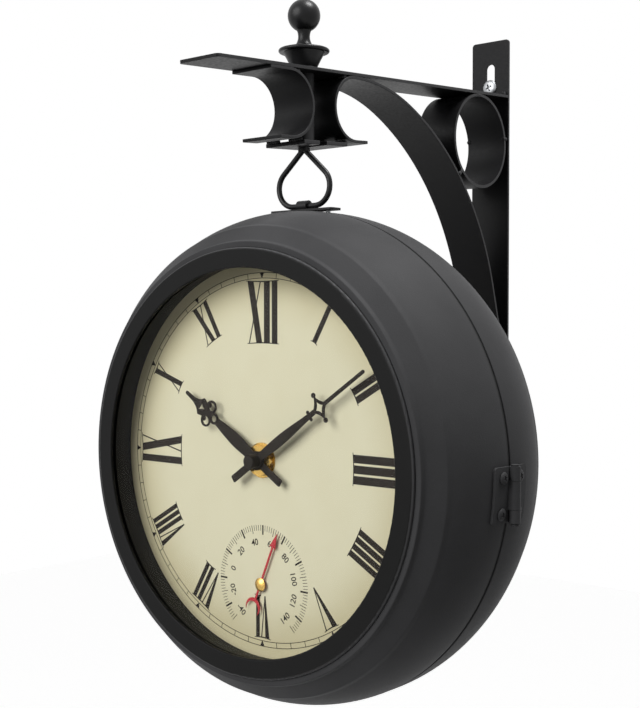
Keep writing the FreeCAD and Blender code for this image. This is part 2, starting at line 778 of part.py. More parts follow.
# ---- bezel, glass, spacer, dial ----
def bezel():
    """Turned ring with a rounded lip and edge, and a skirt that presses into the shell's well."""
    def at(r, d):
        return V(r, -d, 0)

    lip = bezel_lip_round
    low = bezel_depth - bezel_flange
    edge = bezel_edge_round
    diagonal = math.sqrt(0.5)
    tip = bezel_depth - bezel_skirt_length - bezel_flange
    outline = [
        line(at(bezel_lip_radius + lip, bezel_depth), at(bezel_outer_radius - edge, bezel_depth)),
        arc(at(bezel_outer_radius - edge, bezel_depth),
            at(bezel_outer_radius - edge + edge * diagonal, bezel_depth - edge + edge * diagonal),
            at(bezel_outer_radius, bezel_depth - edge)),
        line(at(bezel_outer_radius, bezel_depth - edge), at(bezel_outer_radius, tip)),
        line(at(bezel_outer_radius, tip), at(bezel_outer_radius - bezel_skirt, tip)),
        line(at(bezel_outer_radius - bezel_skirt, tip), at(bezel_outer_radius - bezel_skirt, low)),
        line(at(bezel_outer_radius - bezel_skirt, low), at(bezel_lip_radius, low)),
        line(at(bezel_lip_radius, low), at(bezel_lip_radius, bezel_depth - lip)),
        arc(at(bezel_lip_radius, bezel_depth - lip),
            at(bezel_lip_radius + lip - lip * diagonal, bezel_depth - lip + lip * diagonal),
            at(bezel_lip_radius + lip, bezel_depth))]
    return spin(Part.Face(wire_of(outline)), V(0, 0, 0), Y_AXIS)


def glass_top():
    return bezel_depth - bezel_flange - glass_seal_thickness


def stack_radius():
    return bezel_outer_radius - bezel_skirt - 0.3


def glass_seal():
    top = bezel_depth - bezel_flange
    return dial_ring([(spacer_top_radius, glass_top()), (stack_radius(), glass_top()),
                      (stack_radius(), top), (spacer_top_radius, top)])


def glass():
    return cylinder(stack_radius(), glass_thickness, V(0, -glass_top(), 0), Y_AXIS)


def spacer_ring():
    """Flared ring that holds the glass off the dial, hollow behind its face."""
    top = glass_top() - glass_thickness
    outer = stack_radius()
    return dial_ring([(spacer_top_radius, top), (outer, top), (outer, top - spacer_wall),
                      (spacer_top_radius + spacer_wall * 1.15, top - spacer_wall),
                      (spacer_foot_radius + spacer_wall * 0.85, dial_depth + spacer_wall),
                      (outer, dial_depth + spacer_wall), (outer, dial_depth),
                      (spacer_foot_radius, dial_depth)])


def dial():
    plate = cylinder(well_radius() - 0.3, dial_thickness, V(0, -dial_depth, 0), Y_AXIS)
    plate = plate.cut(cylinder(bush_radius + seat_gap, 4, V(0, -dial_depth - 1, 0), Y_AXIS))
    return plate.cut(cylinder(pivot_radius + 0.8, 4, V(0, -dial_depth - 1, -gauge_drop), Y_AXIS))


# ---- movement and battery ----
def movement():
    """Moulded housing with a battery trough, a recess for the setting knob and a threaded bush."""
    half = movement_size / 2
    front = -dial_back
    back = front + movement_thickness
    body = box(-half, half, front, back, -half, half)
    posts = [e for e in body.Edges if abs(e.tangentAt(e.FirstParameter).y) > 0.9]
    body = body.makeFillet(movement_corner, posts)
    back_face = [f for f in body.Faces if abs(f.CenterOfMass.y - back) < 0.01][0]
    body = body.makeChamfer(1.0, back_face.Edges)
    trough = cylinder(battery_diameter / 2 + 0.3, battery_length + 2.2,
                      V(-battery_length / 2 - 1.1, back - battery_diameter / 2 + 1.6, battery_offset),
                      X_AXIS)
    mouth = box(-battery_length / 2 - 1.1, battery_length / 2 + 1.1,
                back - battery_diameter / 2 + 1.6, back + 1,
                battery_offset - battery_diameter / 2 - 0.3, battery_offset + battery_diameter / 2 + 0.3)
    body = body.cut(trough).cut(mouth)
    body = body.cut(cylinder(knob_radius + 1.2, 3, V(0, back - 1.8, knob_offset), Y_AXIS))
    body = body.cut(cylinder(1.0 + running_gap, 9, V(0, back - 6.5, knob_offset), Y_AXIS))
    bush = cylinder(bush_radius, bush_length + dial_thickness, V(0, front, 0), V(0, -1, 0))
    body = body.fuse(bush)
    body = body.cut(cylinder(hour_tube_radius + running_gap, 20, V(0, front - 12, 0), Y_AXIS))
    return body.cut(cylinder(arbor_radius + running_gap, 12, V(0, front - 1, 0), Y_AXIS))


def battery():
    back = -dial_back + movement_thickness
    y = back - battery_diameter / 2 + 1.6
    can = cylinder(battery_diameter / 2, battery_length, V(-battery_length / 2, y, battery_offset), X_AXIS)
    can = can.makeChamfer(0.5, [e for e in can.Edges if e.Closed])
    nub = cylinder(2.75, 1.0, V(battery_length / 2, y, battery_offset), X_AXIS)
    return can.fuse(nub)


def setting_knob():
    """Fluted knob on the back of the movement with its spindle."""
    back = -dial_back + movement_thickness
    disc = cylinder(knob_radius, knob_thickness, V(0, back - 1.0, knob_offset), Y_AXIS)
    flutes = []
    count = 16
    for index in range(count):
        angle = 2 * math.pi * index / count
        base = V(knob_radius * math.cos(angle), back - 2, knob_offset + knob_radius * math.sin(angle))
        flutes.append(cylinder(0.7, 6, base, Y_AXIS))
    disc = disc.cut(group(flutes))
    return disc.fuse(cylinder(1.0, 6.0, V(0, back - 6.0, knob_offset), Y_AXIS))


def centre_nut():
    """Hexagon nut on a thin washer, clamping the dial to the movement's bush."""
    bore = bush_radius + seat_gap
    washer = tube(nut_washer_radius, bore, nut_washer_thickness, V(0, -dial_depth, 0), V(0, -1, 0))
    corner = nut_across_flats / math.sqrt(3)
    base = -dial_depth - nut_washer_thickness
    points = [V(corner * math.cos(math.radians(60 * i)), base, corner * math.sin(math.radians(60 * i)))
              for i in range(6)]
    nut = face_of(points).extrude(V(0, -nut_thickness, 0))
    bevel = Part.makeCone(corner + 1.0, nut_across_flats / 2 - 0.2, nut_thickness + 0.6,
                          V(0, base, 0), V(0, -1, 0))
    nut = nut.common(bevel)
    return group([washer, nut.cut(cylinder(bore, 10, V(0, base - 8, 0), Y_AXIS))])


# ---- hands: drawn along +X, then turned to the hour ----
def blade(outline, height):
    """Flat hand from (along, across) corners of one side, mirrored about its centre line."""
    both = outline + [(u, -v) for u, v in reversed(outline) if v > 0]
    face = face_of([V(u, -dial_depth - height - hand_thickness / 2, v) for u, v in both])
    return face.extrude(V(0, hand_thickness, 0))


def disc(u, v, radius, height):
    return cylinder(radius, hand_thickness,
                    V(u, -dial_depth - height - hand_thickness / 2, v), Y_AXIS)


def turned(shape, degrees):
    """Turn about the dial's axis, anticlockwise as one looks at the dial."""
    shape.rotate(V(0, 0, 0), Y_AXIS, -degrees)
    return shape


def hand_face(edges, height):
    """Flat piece of a hand from edges drawn on the plane through its hub."""
    face = Part.Face(wire_of(edges))
    face.translate(V(0, -dial_depth - height - hand_thickness / 2, 0))
    return face.extrude(V(0, hand_thickness, 0))


def lens(points, height):
    """Blade whose sides curve smoothly through (along, half width) places."""
    upper = Part.BSplineCurve()
    upper.interpolate([V(u, 0, v) for u, v in points])
    lower = Part.BSplineCurve()
    lower.interpolate([V(u, 0, -v) for u, v in reversed(points)])
    (u0, v0), (u1, v1) = points[0], points[-1]
    edges = [upper.toShape(), line(V(u1, 0, v1), V(u1, 0, -v1)), lower.toShape(),
             line(V(u0, 0, -v0), V(u0, 0, v0))]
    return hand_face(edges, height)


def star(corners, pull, height):
    """Pointed figure whose sides are drawn in towards its middle by a share of their distance."""
    middle_u = sum(u for u, v in corners) / len(corners)
    edges = []
    for (u0, v0), (u1, v1) in zip(corners, corners[1:] + corners[:1]):
        u, v = (u0 + u1) / 2, (v0 + v1) / 2
        edges.append(arc(V(u0, 0, v0), V(u + (middle_u - u) * pull, 0, v * (1 - pull)), V(u1, 0, v1)))
    return hand_face(edges, height)


def hour_hand():
    h = hour_hand_height
    spine = lens([(-6, 1.9), (6, 2.7), (17, 3.35), (26, 2.6), (33, 1.75)], h)
    tail = blade([(-hour_hand_tail, 1.4), (-hour_hand_tail + 0.6, 1.8), (-6, 1.9)], h)
    head = blade([(36.2, 1.3), (38, 2.0), (41, 3.3), (45.0, 4.7), (45.5, 4.5), (46.5, 3.2),
                  (48.4, 2.0), (51, 1.2), (hour_hand_reach - 0.6, 0.9), (hour_hand_reach, 0.45)], h)
    parts = [tail, head, disc(34.4, 0, 2.9, h), disc(38.8, 3.9, 3.3, h), disc(38.8, -3.9, 3.3, h),
             disc(0, 0, 4.6, h)]
    hand = spine.multiFuse(parts)
    holes = [disc(34.4, 0, 1.7, h), star([(41.2, 0), (46.0, 2.4), (46.0, -2.4)], 0.35, h)]
    for side in (1, -1):
        ball = disc(40.3, side * 3.9, 1.2, h)
        holes.append(disc(38.6, side * 4.0, 2.1, h).cut(ball))
    hand = hand.cut(group(holes))
    base = -dial_depth - h - hand_thickness / 2 - 0.1
    stem = cylinder(hour_tube_radius, hour_tube_length, V(0, base, 0), Y_AXIS)
    hand = hand.fuse(stem)
    hand = hand.cut(cylinder(arbor_radius + running_gap, 30, V(0, base - 5, 0), Y_AXIS))
    return turned(hand, hour_hand_angle)


def minute_hand():
    h = minute_hand_height
    spine = lens([(-6, 1.8), (8, 2.2), (20, 2.55), (32, 1.9), (40, 1.35), (44.8, 1.25)], h)
    tail = blade([(-minute_hand_tail, 1.4), (-minute_hand_tail + 0.6, 1.85), (-6, 1.8)], h)
    rod = blade([(52.4, 0.95), (minute_hand_reach - 0.6, 0.85), (minute_hand_reach, 0.4)], h)
    frame = star([(43.4, 0), (48.7, 6.7), (54.0, 0), (48.7, -6.7)], 0.24, h)
    parts = [tail, rod, frame, disc(41.4, 1.9, 0.85, h), disc(41.4, -1.9, 0.85, h), disc(0, 0, 4.2, h),
             disc(48.7, 6.6, 1.2, h), disc(48.7, -6.6, 1.2, h)]
    hand = spine.multiFuse(parts)
    hand = hand.cut(star([(46.1, 0), (48.7, 3.6), (51.3, 0), (48.7, -3.6)], 0.24, h))
    hand = hand.cut(cylinder(arbor_radius * 0.8, 10, V(0, -dial_depth - h - 5, 0), Y_AXIS))
    return turned(hand, minute_hand_angle)


def minute_arbor():
    """Shaft from inside the movement to the cap, with a shoulder under the minute hand."""
    shoulder = -dial_depth - minute_hand_height + hand_thickness / 2
    back = -dial_back + 8.0
    shaft = cylinder(arbor_radius, back - shoulder, V(0, shoulder, 0), Y_AXIS)
    tip = cylinder(arbor_radius * 0.8 - 0.02, 3.0, V(0, shoulder, 0), V(0, -1, 0))
    return shaft.fuse(tip)


def hand_cap():
    seat = -dial_depth - minute_hand_height - hand_thickness / 2
    front = -dial_depth - cap_front
    cap = cylinder(cap_radius, seat - front, V(0, front, 0), Y_AXIS)
    edge = [e for e in cap.Edges if e.Closed and abs(e.CenterOfMass.y - front) < 0.01]
    cap = cap.makeChamfer(0.4, edge)
    return cap.cut(cylinder(arbor_radius * 0.8, 3.2, V(0, seat, 0), V(0, -1, 0)))


# ---- thermometer ----
def thermometer_cup():
    """Shallow pressed cup behind the dial with a bush for the pointer's arbor."""
    ring = dial_ring([(0, dial_back - cup_depth), (cup_radius, dial_back - cup_depth),
                      (cup_radius, dial_back - cup_wall), (cup_radius + 3, dial_back - cup_wall),
                      (cup_radius + 3, dial_back), (cup_radius - cup_wall, dial_back),
                      (cup_radius - cup_wall, dial_back - cup_depth + cup_wall),
                      (0, dial_back - cup_depth + cup_wall)])
    floor = -dial_back + cup_depth
    bush = cylinder(pivot_radius + 1.0, 1.6, V(0, floor - 0.5, 0), Y_AXIS)
    cup = ring.fuse(bush)
    cup = cup.cut(cylinder(pivot_radius + running_gap, 12, V(0, floor - 5, 0), Y_AXIS))
    cup.translate(V(0, 0, -gauge_drop))
    return cup


def bimetal_coil():
    """Flat spiral of half circles, its outer end turned against the cup's wall."""
    y = -dial_back + cup_depth - cup_wall - coil_width - 0.3
    outer, inner = [], []
    radius = coil_inner_radius
    centre = 0.0
    for index in range(coil_turns):
        side = 1 if index % 2 == 0 else -1
        for edges, r in ((outer, radius + coil_strip / 2), (inner, radius - coil_strip / 2)):
            start = V(centre + side * r, y, 0)
            top = V(centre, y, side * r)
            end = V(centre - side * r, y, 0)
            edges.append(arc(start, top, end))
        centre += side * coil_pitch / 4
        radius += coil_pitch / 4
    first = line(inner[0].Vertexes[0].Point, outer[0].Vertexes[0].Point)
    last = line(outer[-1].Vertexes[-1].Point, inner[-1].Vertexes[-1].Point)
    coil = Part.Face(wire_of(outer + [last] + inner[::-1] + [first])).extrude(V(0, coil_width, 0))
    coil.translate(V(0, 0, -gauge_drop))
    return coil


def thermometer_pointer():
    """Arrow with a crescent tail, turned to its reading, on a thin arbor."""
    y = -dial_depth - pointer_height
    reach = pointer_reach
    arrow = face_of([V(4, y, 0.55), V(reach - 7, y, 0.55), V(reach - 8, y, 2.0), V(reach, y, 0),
                     V(reach - 8, y, -2.0), V(reach - 7, y, -0.55), V(4, y, -0.55)])
    arrow = arrow.extrude(V(0, -pointer_thickness, 0))
    hub = cylinder(3.0, pointer_thickness, V(0, y, 0), V(0, -1, 0))
    neck = box(-9.2, 5, y - pointer_thickness, y, -0.55, 0.55)
    crescent = cylinder(4.6, pointer_thickness, V(-12.4, y, 0), V(0, -1, 0))
    crescent = crescent.cut(cylinder(4.0, 2, V(-13.6, y + 1, 0), V(0, -1, 0)))
    arbor_end = -dial_back + cup_depth + 0.6
    arbor = cylinder(pivot_radius, arbor_end - y + pointer_thickness,
                     V(0, y - pointer_thickness, 0), Y_AXIS)
    pointer = arrow.multiFuse([hub, neck, crescent, arbor])
    turned(pointer, pointer_angle)
    pointer.translate(V(0, 0, -gauge_drop))
    return pointer


def pointer_cap():
    base = -dial_depth - pointer_height - pointer_thickness
    rise = (pivot_cap_radius ** 2 + pivot_cap_height ** 2) / (2 * pivot_cap_height)
    ball = Part.makeSphere(rise, V(0, base - pivot_cap_height + rise, 0))
    cap = ball.common(cylinder(pivot_cap_radius + 1, 4, V(0, base, 0), V(0, -1, 0)))
    cap.translate(V(0, 0, -gauge_drop))
    return cap


# ---- assembly ----
def save_bracket():
    brace = brace_strap()
    nose = nose_strap()
    plate = lower_plate()
    save(wall_plate(), "wall_plate")
    save(top_bar(), "top_bar")
    save(brace, "brace_strap")
    save(nose, "nose_strap")
    save(bracket_ring(brace), "bracket_ring")
    save(plate, "lower_plate")
    save(pivot_sleeve(nose, brace, plate), "pivot_sleeve")


def save_hanger():
    save(pivot_washer(), "pivot_washer")
    save(finial_cup(), "finial_cup")
    save(finial_ball(), "finial_ball")
    save(swivel_rod(), "swivel_rod")
    save(hanging_loop(), "hanging_loop")


def save_case():
    front_shell, rear_shell = case_shells()
    front_leaf, rear_leaf, pin = hinge_pieces()
    pieces = {
        "front_shell": front_shell, "rear_shell": rear_shell,
        "front_hinge_leaf": front_leaf, "rear_hinge_leaf": rear_leaf, "hinge_pin": pin,
        "front_hinge_screws": hinge_screws(1), "rear_hinge_screws": hinge_screws(-1),
        "closing_magnet": closing_magnet(), "magnet_strike": magnet_strike(),
        "hanger_tab": hanger_tab(), "tab_screws": tab_screws(), "case_seal": case_seal()}
    for node, shape in pieces.items():
        save(on_side(shape, False), node)


def save_dial_sides():
    makers = {
        "bezel": bezel, "glass_seal": glass_seal, "glass": glass, "spacer_ring": spacer_ring,
        "dial": dial, "movement": movement, "battery": battery, "setting_knob": setting_knob,
        "centre_nut": centre_nut, "hour_hand": hour_hand, "minute_hand": minute_hand,
        "minute_arbor": minute_arbor, "hand_cap": hand_cap, "thermometer_cup": thermometer_cup,
        "bimetal_coil": bimetal_coil, "thermometer_pointer": thermometer_pointer,
        "pointer_cap": pointer_cap}
    for name, make in makers.items():
        piece = make()
        save(on_side(piece, False), "front_" + name)
        save(on_side(piece, True), "rear_" + name)


def main():
    os.makedirs("parts", exist_ok=True)
    save_bracket()
    save_hanger()
    save_case()
    save_dial_sides()


main()
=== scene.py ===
import json
import math

import bmesh
import bpy
from bpy.props import FloatProperty, FloatVectorProperty, IntProperty, PointerProperty
from mathutils import Matrix, Vector


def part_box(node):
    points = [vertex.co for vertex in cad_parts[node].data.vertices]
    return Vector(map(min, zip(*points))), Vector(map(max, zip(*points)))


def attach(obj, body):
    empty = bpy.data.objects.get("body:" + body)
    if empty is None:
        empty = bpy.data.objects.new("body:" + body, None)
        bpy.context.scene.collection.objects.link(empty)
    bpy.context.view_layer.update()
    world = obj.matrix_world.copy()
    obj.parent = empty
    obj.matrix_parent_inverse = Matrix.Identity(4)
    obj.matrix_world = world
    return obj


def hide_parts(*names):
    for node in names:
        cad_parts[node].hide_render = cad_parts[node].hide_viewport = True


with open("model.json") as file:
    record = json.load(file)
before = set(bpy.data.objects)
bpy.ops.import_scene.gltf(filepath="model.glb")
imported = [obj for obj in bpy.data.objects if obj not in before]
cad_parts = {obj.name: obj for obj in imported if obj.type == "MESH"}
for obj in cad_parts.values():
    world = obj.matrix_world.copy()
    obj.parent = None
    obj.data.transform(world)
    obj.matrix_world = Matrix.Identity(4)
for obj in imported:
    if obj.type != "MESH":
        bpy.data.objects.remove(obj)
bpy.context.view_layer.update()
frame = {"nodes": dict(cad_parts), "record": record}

bl_info = {
    "name": "Station clock dressing",
    "version": (1, 0, 0),
    "blender": (4, 5, 0),
    "location": "3D View > Sidebar > Station Clock",
    "description": "Dresses a double sided station clock and its strap bracket",
    "category": "Object",
}

MM = 0.001
SIDES = ("front", "rear")
OVERLAP = 0.1 * MM      # how far joined shapes run into each other
SUNK = -0.02 * MM       # the print's foot below the dial's face, so that no gap shows

# Places from the middle of the front dial's face, in metres, and the way the camera looks
KEY_PLACE = Vector((-0.5, -1.85, 0.9))
TOP_PLACE = Vector((0.42, 0.3, 1.35))
CAMERA_PLACE = Vector((398.4, -426.2, 67.5)) * MM
CAMERA_WAY = Vector((-0.6473, 0.7617, -0.0283))


def paint(hex_code):
    """Linear colour for an sRGB hex value."""
    parts = [int(hex_code[i:i + 2], 16) / 255 for i in (1, 3, 5)]
    return tuple(c / 12.92 if c <= 0.04045 else ((c + 0.055) / 1.055) ** 2.4 for c in parts)


def length(name, description, default, low=0.0):
    return FloatProperty(name=name, description=description, default=default * MM, min=low,
                         unit="LENGTH", subtype="DISTANCE", precision=5)


def colour(name, description, hex_code):
    return FloatVectorProperty(name=name, description=description, default=paint(hex_code),
                               size=3, min=0.0, max=1.0, subtype="COLOR")


# ---- what a user may change ----
class ClockDialSizes(bpy.types.PropertyGroup):
    ink: length("Ink thickness", "Height of the screen printed ink above the dial", 0.05)
    track_outer: length("Track outside", "Radius of the minute track's outer line", 90.0)
    track_inner: length("Track inside", "Radius of the minute track's inner line", 87.4)
    hairline: length("Hairline", "Width of the minute track's lines", 0.32)
    numeral_top: length("Numeral top", "Radius at the outer end of the numerals", 86.0)
    numeral_foot: length("Numeral foot", "Radius at the inner end of most numerals", 65.6)
    tall_foot: length("Tall numeral foot", "Radius at the inner end of XII, III and IX", 56.1)
    serif: length("Serif", "Width of the thin serif lines", 0.6)
    gauge_drop: length("Gauge drop", "Thermometer's centre below the dial's centre", 60.0)
    gauge_shift: length("Gauge shift", "Thermometer's centre to the right of the dial's", 0.4)
    gauge_rim: length("Gauge rim", "Radius at the outer end of the thermometer's marks", 28.6)
    label_radius: length("Label radius", "Radius at the middle of the thermometer's numbers", 20.3)
    label_height: length("Label height", "Height of the thermometer's numbers", 3.1)


class ClockCaseSizes(bpy.types.PropertyGroup):
    radius: length("Case radius", "Radius of the band round the middle of the case", 120.9)
    wall: length("Sheet", "Thickness of the pressed steel", 1.2)
    band: length("Band", "Half width of the straight band", 4.5)
    crease_radius: length("Crease radius", "Radius of the crease between skin and shoulder", 112.5)
    crease_depth: length("Crease depth", "Crease in front of the middle plane", 35.5)
    crest_radius: length("Crest radius", "Radius of the step beside the bezel", 104.3)
    crest_depth: length("Crest depth", "Flat beside the bezel in front of the middle plane", 45.6)
    step_height: length("Step height", "Drop of the pressed steps at the crease and the ledge", 2.2)
    crease_round: length("Crease rounding", "Run of the rounding at the pressed steps", 0.6)
    rim_round: length("Rim rounding", "Rolled edge of both shells at the seam", 0.5)
    seam: length("Seam", "Seam's rear side in front of the middle plane", 2.3)
    seam_gap: length("Seam gap", "Width of the seam between the shells", 1.9)
    well_radius: length("Well radius", "Radius of the well for bezel and dial", 101.6)
    well_depth: length("Well depth", "Dial's ledge in front of the middle plane", 29.6)
    well_ledge: length("Well ledge", "Width of the dial's ledge", 12.0)
    spigot: length("Spigot", "Reach of the rear shell's guide ring past the seam", 5.0)
    seal: length("Seal", "Thickness of the seal in the seam", 0.5)


class ClockMetalSizes(bpy.types.PropertyGroup):
    strap_edge: length("Strap edge", "Rounding of the straps' rolled edges", 0.3)
    hand_edge: length("Hand edge", "Rounding of the stamped hands' edges", 0.09)
    leaf_edge: length("Leaf edge", "Rounding of the hinge and tab's pressed edges", 0.15)
    bead: length("Weld bead", "Radius of a weld bead", 1.2)
    wall_head: length("Wall screw head", "Diameter of the wall screws' pan heads", 9.3)
    wall_rise: length("Wall screw rise", "Height of the wall screws' pan heads", 2.0)
    wall_drop: length("Upper screw", "Upper wall screw below the plate's top", 27.5)
    wall_lift: length("Lower screw", "Lower wall screw above the plate's foot", 19.0)
    hinge_head: length("Hinge screw head", "Diameter of the hinge screws' round heads", 5.6)
    hinge_rise: length("Hinge screw rise", "Height of the hinge screws' round heads", 1.2)
    wall_shank: length("Wall screw shank", "Radius of the wall screws' shanks", 2.1)
    hinge_shank: length("Hinge screw shank", "Radius of the hinge screws' shanks", 1.2)
    hinge_reach: length("Hinge screw reach", "Length of the hinge screws' shanks", 3.5)
    washer_lift: length("Washer lift", "Swivel washer's underside above the arm's top", 0.8)
    droop: FloatProperty(name="Arm droop", description="Fall of the arm away from the wall",
                         default=math.radians(3.6), unit="ROTATION", subtype="ANGLE")


class ClockColours(bpy.types.PropertyGroup):
    dial: colour("Dial", "Cream stoving enamel of the dial", "#dedabd")
    ink: colour("Ink", "Screen printed ink of the numerals", "#2a2622")
    bracket: colour("Bracket", "Satin enamel of the strap bracket", "#151516")
    case: colour("Case", "Powder coat of the case", "#3a3a3b")
    bezel: colour("Bezel", "Satin enamel of the bezel", "#171717")
    hands: colour("Hands", "Lacquer of the hands", "#27231f")
    pointer: colour("Pointer", "Lacquer of the thermometer's pointer", "#b3222b")
    brass: colour("Brass", "Centre nut and pointer cap", "#c8a45a")
    zinc: colour("Zinc", "Plated screws and strike", "#a3a5a7")
    stage: colour("Stage", "Floor under the clock", "#f2f2f2")


class ClockStage(bpy.types.PropertyGroup):
    lens: FloatProperty(name="Lens", description="Focal length of the camera", default=61.8,
                        min=10, max=300, unit="CAMERA")
    floor_drop: length("Floor drop", "Floor below the case", 1900.0)
    key_power: FloatProperty(name="Key", description="Power of the main soft lamp", default=43.0,
                             min=0, unit="POWER")
    key_size: length("Key size", "Diameter of the main soft lamp", 1800.0)
    top_power: FloatProperty(name="Top", description="Power of the soft lamp overhead",
                             default=24.0, min=0, unit="POWER")
    top_size: length("Top size", "Diameter of the soft lamp overhead", 600.0)
    ambient: FloatProperty(name="Ambient", description="Even light of the white studio",
                           default=0.15, min=0, max=1, subtype="FACTOR")
    glow: FloatProperty(name="Floor glow", description="Brightening of the floor where it is seen",
                        default=0.8, min=0, max=1, subtype="FACTOR")
    case_steps: IntProperty(name="Case steps", description="Straight steps round the case",
                            default=192, min=48, max=720)
    ring_steps: IntProperty(name="Circle steps", description="Straight steps in a printed circle",
                            default=240, min=24, max=720)


# ---- mesh making ----
def piece_from(bm, name, body, slot, angle=35.0, finish=None):
    """A finished piece that rides on a body and carries its slot's finish, or another."""
    bmesh.ops.recalc_face_normals(bm, faces=bm.faces)
    mesh = bpy.data.meshes.new(name)
    bm.to_mesh(mesh)
    bm.free()
    piece = bpy.data.objects.new(name, mesh)
    bpy.context.scene.collection.objects.link(piece)
    smooth(mesh, angle)
    mesh.materials.append(finish or finish_for(slot))
    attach(piece, body)
    return piece


def piece_for(bm, node, angle=35.0):
    """A finished piece that takes a node's place."""
    piece = piece_from(bm, node + "_dressed", body_name(node), slot_of(node), angle)
    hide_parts(node)
    return piece


def smooth(mesh, angle):
    mesh.shade_smooth()
    mesh.set_sharp_from_angle(angle=math.radians(angle))


def slab(bm, corners, low, high):
    """Flat prism from corners in the dial's plane, between two heights in front of the dial."""
    front = [bm.verts.new((x, -high, z)) for x, z in corners]
    back = [bm.verts.new((x, -low, z)) for x, z in corners]
    bm.faces.new(front)
    bm.faces.new(back[::-1])
    count = len(corners)
    for i in range(count):
        j = (i + 1) % count
        bm.faces.new((front[i], back[i], back[j], front[j]))


def full_turn(steps):
    return [2 * math.pi * i / steps for i in range(steps)]


def swept(bm, profile, steps):
    """Ring about the Y axis from (radius, height towards -Y) corners of its closed section."""
    loops = [[bm.verts.new((r * math.cos(a), -h, r * math.sin(a))) for a in full_turn(steps)]
             for r, h in profile]
    for k, near in enumerate(loops):
        far = loops[(k + 1) % len(loops)]
        for i in range(steps):
            j = (i + 1) % steps
            bm.faces.new((near[i], near[j], far[j], far[i]))


def lathe(bm, profile, steps, place):
    """Solid turned about its own Z from (radius, height) corners, then put in its place."""
    rings = []
    for r, h in profile:
        if r == 0:
            rings.append([bm.verts.new(place @ Vector((0, 0, h)))])
            continue
        rings.append([bm.verts.new(place @ Vector((r * math.cos(a), r * math.sin(a), h)))
                      for a in full_turn(steps)])
    for lower, upper in zip(rings[:-1], rings[1:]):
        for i in range(steps):
            j = (i + 1) % steps
            corners = [lower[i % len(lower)], lower[j % len(lower)], upper[j % len(upper)],
                       upper[i % len(upper)]]
            bm.faces.new(list(dict.fromkeys(corners)))


def joined(base, other, operation):
    """Exact boolean of two bmeshes; overlapping strokes within either are merged too."""
    made = []
    for bm in (base, other):
        bmesh.ops.recalc_face_normals(bm, faces=bm.faces)
        mesh = bpy.data.meshes.new("work")
        bm.to_mesh(mesh)
        bm.free()
        work = bpy.data.objects.new("work", mesh)
        bpy.context.scene.collection.objects.link(work)
        made.append(work)
    cut = made[0].modifiers.new("cut", "BOOLEAN")
    cut.operation = operation
    cut.solver = "EXACT"
    cut.use_self = True
    cut.object = made[1]
    bpy.context.view_layer.update()
    result = bmesh.new()
    result.from_object(made[0], bpy.context.evaluated_depsgraph_get())
    for work in made:
        mesh = work.data
        bpy.data.objects.remove(work)
        bpy.data.meshes.remove(mesh)
    return result


def dressed(node, width, steps, angle):
    """The node's own solid with its sharp edges rounded as the rolled or pressed metal is."""
    bm = bmesh.new()
    bm.from_mesh(frame["nodes"][node].data)
    bmesh.ops.remove_doubles(bm, verts=bm.verts, dist=1e-6)
    bmesh.ops.dissolve_limit(bm, angle_limit=math.radians(0.4), verts=bm.verts, edges=bm.edges)
    sharp = [e for e in bm.edges if len(e.link_faces) == 2
             and e.calc_face_angle() > math.radians(angle)]
    bmesh.ops.bevel(bm, geom=sharp, offset=width, offset_type="OFFSET", segments=steps,
                    profile=0.5, affect="EDGES", clamp_overlap=True)
    piece = piece_for(bm, node, 60.0)
    if "custom_normal" in piece.data.attributes:
        piece.data.attributes.remove(piece.data.attributes["custom_normal"])
    even = piece.modifiers.new("even flats", "WEIGHTED_NORMAL")
    even.keep_sharp = True
    even.weight = 100


def body_name(node):
    for body, nodes in frame["record"]["behaviour"]["bodies"].items():
        if node in nodes:
            return body
    raise RuntimeError("no body carries " + node)


# ---- finishes ----
def add_node(tree, kind, inputs=None, **options):
    """Adds a node, sets its options, and gives each input a value or a link."""
    node = tree.nodes.new(kind)
    for name, value in options.items():
        setattr(node, name, value)
    for name, value in (inputs or {}).items():
        socket = node.inputs[name]
        if isinstance(value, bpy.types.NodeSocket):
            tree.links.new(value, socket)
        else:
            socket.default_value = value
    return node


def finish_base(name, base, roughness, metallic=0.0, **sockets):
    """Named finish with its tree, its shader and the piece's own coordinates."""
    finish = bpy.data.materials.new(name)
    finish.use_nodes = True
    tree = finish.node_tree
    shader = tree.nodes["Principled BSDF"]
    shader.inputs["Base Color"].default_value = (*base, 1.0)
    shader.inputs["Roughness"].default_value = roughness
    shader.inputs["Metallic"].default_value = metallic
    for socket, value in sockets.items():
        shader.inputs[socket.replace("_", " ")].default_value = value
    place = add_node(tree, "ShaderNodeTexCoord").outputs["Object"]
    return finish, tree, shader, place


def grain(tree, place, size, detail=3.0, stretch=(1.0, 1.0, 1.0)):
    """Noise whose lumps have a real size in millimetres."""
    spread = add_node(tree, "ShaderNodeMapping", {"Vector": place, "Scale": stretch})
    return add_node(tree, "ShaderNodeTexNoise",
                    {"Vector": spread.outputs[0], "Scale": 1000.0 / size, "Detail": detail,
                     "Roughness": 0.55}).outputs["Fac"]


def relief(tree, shader, height, depth, strength=1.0):
    """Bump of a real depth in millimetres."""
    bump = add_node(tree, "ShaderNodeBump", {"Height": height, "Distance": depth * MM,
                                             "Strength": strength})
    tree.links.new(bump.outputs[0], shader.inputs["Normal"])


def spread_between(tree, value, low, high, socket):
    """Turns a noise into a range around a setting and puts it on a socket."""
    shift = add_node(tree, "ShaderNodeMapRange", {"Value": value, "From Min": 0.3, "From Max": 0.7,
                                                  "To Min": low, "To Max": high})
    tree.links.new(shift.outputs[0], socket)


